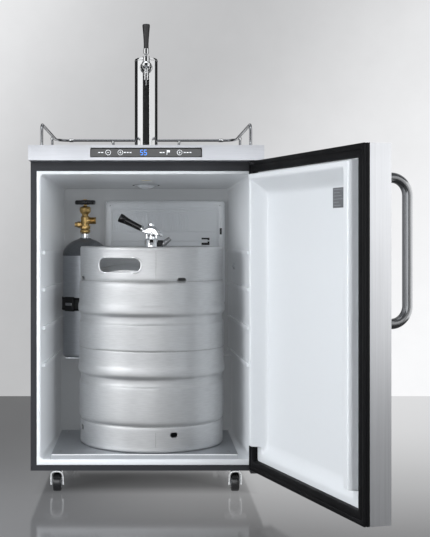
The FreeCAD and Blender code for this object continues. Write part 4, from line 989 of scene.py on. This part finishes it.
def cabinet_fittings():
    """The lamp in the ceiling, the sensor on the wall, the hinge covers and the frame's clips."""
    lamp = mid("lamp_lens")
    lamp.z = high("lamp_lens").z
    lens = [(0, 0.2), (26, 0.2), (26.2, -2.4), (24.5, -4.4), (22, -6), (17, -9), (10, -11.6), (4, -12.6),
            (0, -12.8)]
    lathe("lamp_dome", lens, lamp, LENS, "lamp_lens", rounds=1, stands_in=True)
    bezel = [(22, 0.4), (34, 0.4), (34.6, -0.6), (33, -1.8), (26, -2.6), (22, -1)]
    lathe("lamp_ring", bezel, lamp, WHITE, "lamp_lens", rounds=1)
    for side in (-1, 1):
        slab(f"lamp_slot_{side + 1}", (side * 36 - 3, lamp.y - 1.5, lamp.z - 2.2),
             (side * 36 + 3, lamp.y + 1.5, lamp.z - 0.6), MATT, "lamp_lens", 0.5)
    sensor = Vector((248, FRONT + 300, 589))
    boss = [(0, 0), (8, 0), (8, 2), (6.4, 5), (3, 6.4), (0, 6.8)]
    lathe("sensor_boss", boss, sensor + X * 6, WHITE, "inner_liner", -X, 40)
    screw("sensor_screw", sensor - X * 0.6, -X, 2.6, SCREW, "inner_liner")
    top = high("hinge_brackets").z
    for tag, z0, z1 in (("top", top, top + 4.4), ("foot", 66.4, low("hinge_brackets").z)):
        slab(f"hinge_cover_{tag}", (PIN.x - 24, PIN.y - 10, z0), (PIN.x + 9, FRONT - 0.2, z1), MATT,
             "hinge_brackets", 1.2)
    for i, z in enumerate((70, 240, 440, 640, 800)):
        slab(f"frame_clip_{i}", (-299.6, FRONT - 0.4, z), (-296, FRONT + 1, z + 12), CHARCOAL, "front_frame",
             0.3)


def rail_fittings():
    """Ferrules where the rail's bars meet, feet under the front posts and collars on the rear ones."""
    rail, base = mid("rail_back"), low("rail_left").z
    for side in (-1, 1):
        ferrule = [(4, 0), (5.2, 0.6), (5.6, 2), (5.6, 12), (5.2, 13.4), (4, 14)]
        lathe(f"rail_ferrule_{side + 1}", ferrule, (high("rail_back").x * side - 7, rail.y, rail.z), CHROME,
              "rail_back", X, 40)
        foot = [(4, 0), (11, 0), (11.6, 1), (11, 2.6), (6, 4), (5.2, 8), (4, 9)]
        lathe(f"rail_foot_{side + 1}", foot, (side * 273.7, FRONT + 26, base), CHROME, "rail_posts", sides=48,
              rounds=1)
    for i, (x, y) in enumerate(((-273.7, 351), (273.7, 351), (-100, 465), (100, 465))):
        collar = [(3.4, 58), (4.6, 58.6), (5, 60), (5, 63), (4.4, 64)]
        lathe(f"rail_collar_{i}", collar, (x, FRONT + y, base), CHROME, "rail_posts", sides=40)


evaporator_cover()
mouth_and_tray()
cabinet_fittings()
rail_fittings()


# ---- tower and tap ----

TAP_AXIS = 1140
FLANGE_TOP = 901


def shank(tower, rad):
    """The flange's screws, and along the tap's axis its shield, its notched nut and its barrel."""
    for i in range(4):
        angle = radians(45 + 90 * i)
        spot = (tower.x + 41 * cos(angle), tower.y + 41 * sin(angle), FLANGE_TOP)
        screw(f"flange_screw_{i}", spot, Z, 4, CHROME, "tower_flange")
    start = Vector((0, tower.y - rad, TAP_AXIS))
    shield = [(11, -0.4), (17, -0.4), (17.6, 1), (16.6, 3), (14, 5), (12, 6), (11, 6)]
    lathe("shank_shield", shield, start, CHROME, "faucet_shank", -Y, rounds=1)
    nut = [(11, 6), (14.6, 6), (15, 7), (15, 14), (14.2, 15), (11, 15)]
    lathe("shank_nut_ring", nut, start, CHROME, "faucet_shank", -Y, 24)
    for i in range(12):
        slab(f"shank_nut_notch_{i}", (14.2, -1.2, 7), (15.8, 1.2, 14), CHROME, "faucet_shank", 0.5,
             aim(start, -Y) @ Matrix.Rotation(2 * pi * i / 12, 4, "Z"))
    barrel = [(0, 15), (11.4, 15), (11.6, 17), (9.4, 20), (8.4, 26), (8.4, 34), (9.4, 40), (10, 50), (9, 56),
              (6, 59), (0, 59.6)]
    lathe("tap_barrel", barrel, start, CHROME, "faucet_body", -Y, rounds=1, stands_in=True)


def tap():
    """The tap's belly, bonnet and spout, the lever's skirt and ferrule, and the turned black handle."""
    tower = mid("tower_column")
    rad = (high("tower_column").x - low("tower_column").x) / 2
    lever = joint_place("tap_pull")
    shank(tower, rad)
    axis = (0, lever.y, 0)
    belly = [(0, 1129.6), (6.8, 1129.6), (9.6, 1132), (12.4, 1135.6), (13.4, 1139.6), (12.6, 1144),
             (10, 1147.8), (9.2, 1149), (0, 1149)]
    lathe("tap_belly", belly, axis, CHROME, "faucet_body", rounds=1)
    bonnet = [(0, 1148.4), (8.8, 1148.4), (8.8, 1160.6), (9.6, 1161.2), (9.6, 1162.8), (8.8, 1163.5),
              (7.9, 1162), (7.9, 1152), (0, 1149)]
    lathe("tap_bonnet", bonnet, axis, CHROME, "faucet_body", sides=16)
    spout = [(0, lever.y + y, z) for y, z in ((3, 1131), (0, 1122), (-5, 1112), (-5.5, 1102.4))]
    tube("tap_spout", spout, 6.2, CHROME, "faucet_body")
    for y, z in ((-5.5, 1101), (-5.5, 1110), (-0.5, 1121)):
        bead = [(4.6, -2.4), (6.9, -2.4), (7.2, -1.6), (7.2, 0.8), (6.1, 1.8)]
        lathe(f"tap_spout_ring_{z}", bead, (0, lever.y + y, z), CHROME, "faucet_body")
    ball = [(7.2 * cos(radians(a)), 7.2 * sin(radians(a))) for a in range(0, 70, 8)]
    skirt = [(0, 0)] + ball + [(3, 9.6), (5.2, 11.4), (5.6, 12), (5.2, 13.2), (0, 13.4)]
    lathe("lever_skirt", skirt, lever, CHROME, "faucet_lever", rounds=1)
    handle = [(0, 26.1), (6.2, 26.1), (6.6, 27), (6.6, 40), (7.2, 52), (8.2, 66), (9.3, 78), (10.1, 87),
              (10.1, 91), (9.2, 92.6), (7.6, 93), (0, 92.2)]
    lathe("handle_turned", handle, lever, BLACK, "tap_handle", sides=8, stands_in=True)
    cuff = [(0, 13.4), (7, 13.4), (7.3, 14.2), (7.3, 24.8), (6.8, 26), (6.6, 26.8), (0, 26.8)]
    lathe("handle_ferrule", cuff, lever, CHROME, "faucet_lever", rounds=1)
    cap = [(rad, 1161.4), (rad + 0.5, 1162), (rad + 0.5, 1163), (rad, 1163.6)]
    lathe("tower_cap_line", cap, (tower.x, tower.y, 0), CHROME, "tower_cap", sides=96)


tap()


# ---- casters ----

TRAIL = 15
BEND_FOOT, BEND_HEIGHT = 30, 28


def fork(corner, swivel):
    """A bent plate over the wheel, narrow at the axle and wide under the swivel, with a painted highlight on its
    edge.
    """
    arch = [(-15.4, 19), (-15.4, 40), (-14.6, 50), (-10, 56.6), (0, 58), (10, 56.6), (14.6, 50), (15.4, 40),
            (15.4, 19)]

    def spread(z):
        """Half of the plate's depth at a height, and how far behind the swivel it stands."""
        rise = max(0, (z - BEND_FOOT) / BEND_HEIGHT)
        return 9 + 8 * rise, TRAIL * (1 - rise)

    bm = bmesh.new()
    rings = []
    for x, z in soften(arch):
        half, back = spread(z)
        rings.append([bm.verts.new((swivel.x + x * k, swivel.y + back + y, z * kz)) for k, kz, y in (
            (1, 1, -half), (1, 1, half), (0.85, 0.975, half), (0.85, 0.975, -half))])
    skin(bm, rings)
    finish_piece(from_bmesh(f"fork_{corner}", bm), CHROME, f"caster_fork_{corner}", stands_in=True)
    bead = [(swivel.x + x * 1.04, swivel.y + spread(z)[1] - spread(z)[0], z) for x, z in arch]
    tube(f"fork_edge_highlight_{corner}", bead, 1.7, HIGHLIGHT_EDGE, f"caster_fork_{corner}")


def caster(corner):
    """A tyre with hubs, the fork's axle nuts and the fork, and the swivel's race."""
    wheel, swivel = mid(f"caster_wheel_{corner}"), joint_place(f"swivel_{corner}")
    tread = [(4.2, -11), (15, -11), (16, -10), (18.5, -10.4), (22, -10.6), (24.2, -9.4), (25, -6.5),
             (25, 6.5), (24.2, 9.4), (22, 10.6), (18.5, 10.4), (16, 10), (15, 11), (4.2, 11)]
    lathe(f"tyre_{corner}", tread, wheel, TYRE, f"caster_wheel_{corner}", X, 72, 1, True)
    for side in (-1, 1):
        disc = [(0, 0), (15, 0), (15, 0.6), (12, 1), (10, 0.4), (6, 0.6), (5, 1.4), (0, 1.5)]
        lathe(f"hub_{corner}_{side + 1}", disc, wheel + X * side * 10.6, GALV, f"caster_wheel_{corner}",
              X * side, 48)
        nut = [(0, 0), (4.4, 0), (4.8, 0.4), (4.8, 1.8), (4, 2.4), (0, 2.5)]
        lathe(f"axle_nut_{corner}_{side + 1}", nut, wheel + X * side * 15.4, MATT, f"caster_fork_{corner}",
              X * side, 6)
    fork(corner, swivel)
    race = [(0, 0), (13.6, 0), (14.4, 1), (14.4, 4), (13.4, 5), (0, 5)]
    lathe(f"swivel_race_{corner}", race, (swivel.x, swivel.y, 58.6), CHROME, "caster_plates", rounds=1)


for caster_corner in ("front_left", "front_right", "rear_left", "rear_right"):
    caster(caster_corner)


# ---- the machine side ----

def machine_side():
    """Screws, louvres and socket pins on the back, the compressor's seam, its pipe and the coil's bends."""
    rear = high("rear_panel").y
    for tag, columns, rows in (("", (-290, -100, 100, 290), (72, 480, 872)),
                               ("edge_", (-293, 293), (280, 680))):
        for i, x in enumerate(columns):
            for k, z in enumerate(rows):
                screw(f"rear_{tag}screw_{i}_{k}", (x, rear, z), Y, 4, SCREW, "rear_panel")
    for i in range(11):
        z = 116 + 14 * i
        slab(f"louvre_{i}", (-240, rear - 0.2, z + 5.4), (190, rear + 2.4, z + 8), GALV, "rear_panel", 0.7)
    inlet = mid("power_inlet")
    for i, (dx, dz) in enumerate(((-6, -2), (6, -2), (0, 4))):
        slab(f"inlet_pin_{i}", (inlet.x + dx - 1, rear - 14, inlet.z + dz - 2.5),
             (inlet.x + dx + 1, rear + 0.5, inlet.z + dz + 2.5), SCREW, "power_inlet", 0.3)
    pot = mid("compressor")
    lathe("compressor_seam", [(56, 0), (59, 0.4), (59, 3.4), (56, 4)], (pot.x, pot.y, 140), MATT,
          "compressor",
          sides=80)
    pipe = ((40, -20, 20), (62, -24, 30), (74, -20, 60), (90, 0, 70), (140, 10, 60), (200, 20, 40))
    tube("discharge_pipe", [pot + Vector(spot) for spot in pipe], 2.6, BRASS, "condenser")
    end, depth = high("condenser").x, mid("condenser").y
    for i in range(4):
        z = low("condenser").z + 32 * (i + 1)
        bend = [(end, depth, z - 16), (end + 12, depth, z - 16), (end + 12, depth, z + 16),
                (end, depth, z + 16)]
        tube(f"condenser_bend_{i}", bend, 3.4, BRASS, "condenser")


def worktop_rim():
    """A raised rim round the worktop."""
    edge = [(-half, half, FRONT + front, back, radius, z) for half, front, back, radius, z in (
        (299.6, 20.4, 294.6, 14, 0), (299.6, 20.4, 294.6, 14, 2.4), (297, 23, 292, 14, 3.4),
        (293, 27, 288, 12, 2.8),
        (291, 29, 286, 11, 0))]
    lay_flat = Matrix(((1, 0, 0, 0), (0, 0, 1, 0), (0, 1, 0, 0), (0, 0, 0, 1)))
    turn = Matrix.Translation(Z * high("worktop").z) @ lay_flat
    finish_piece(from_bmesh("worktop_rim", lofted(edge), turn), TOP, "worktop")


machine_side()
worktop_rim()
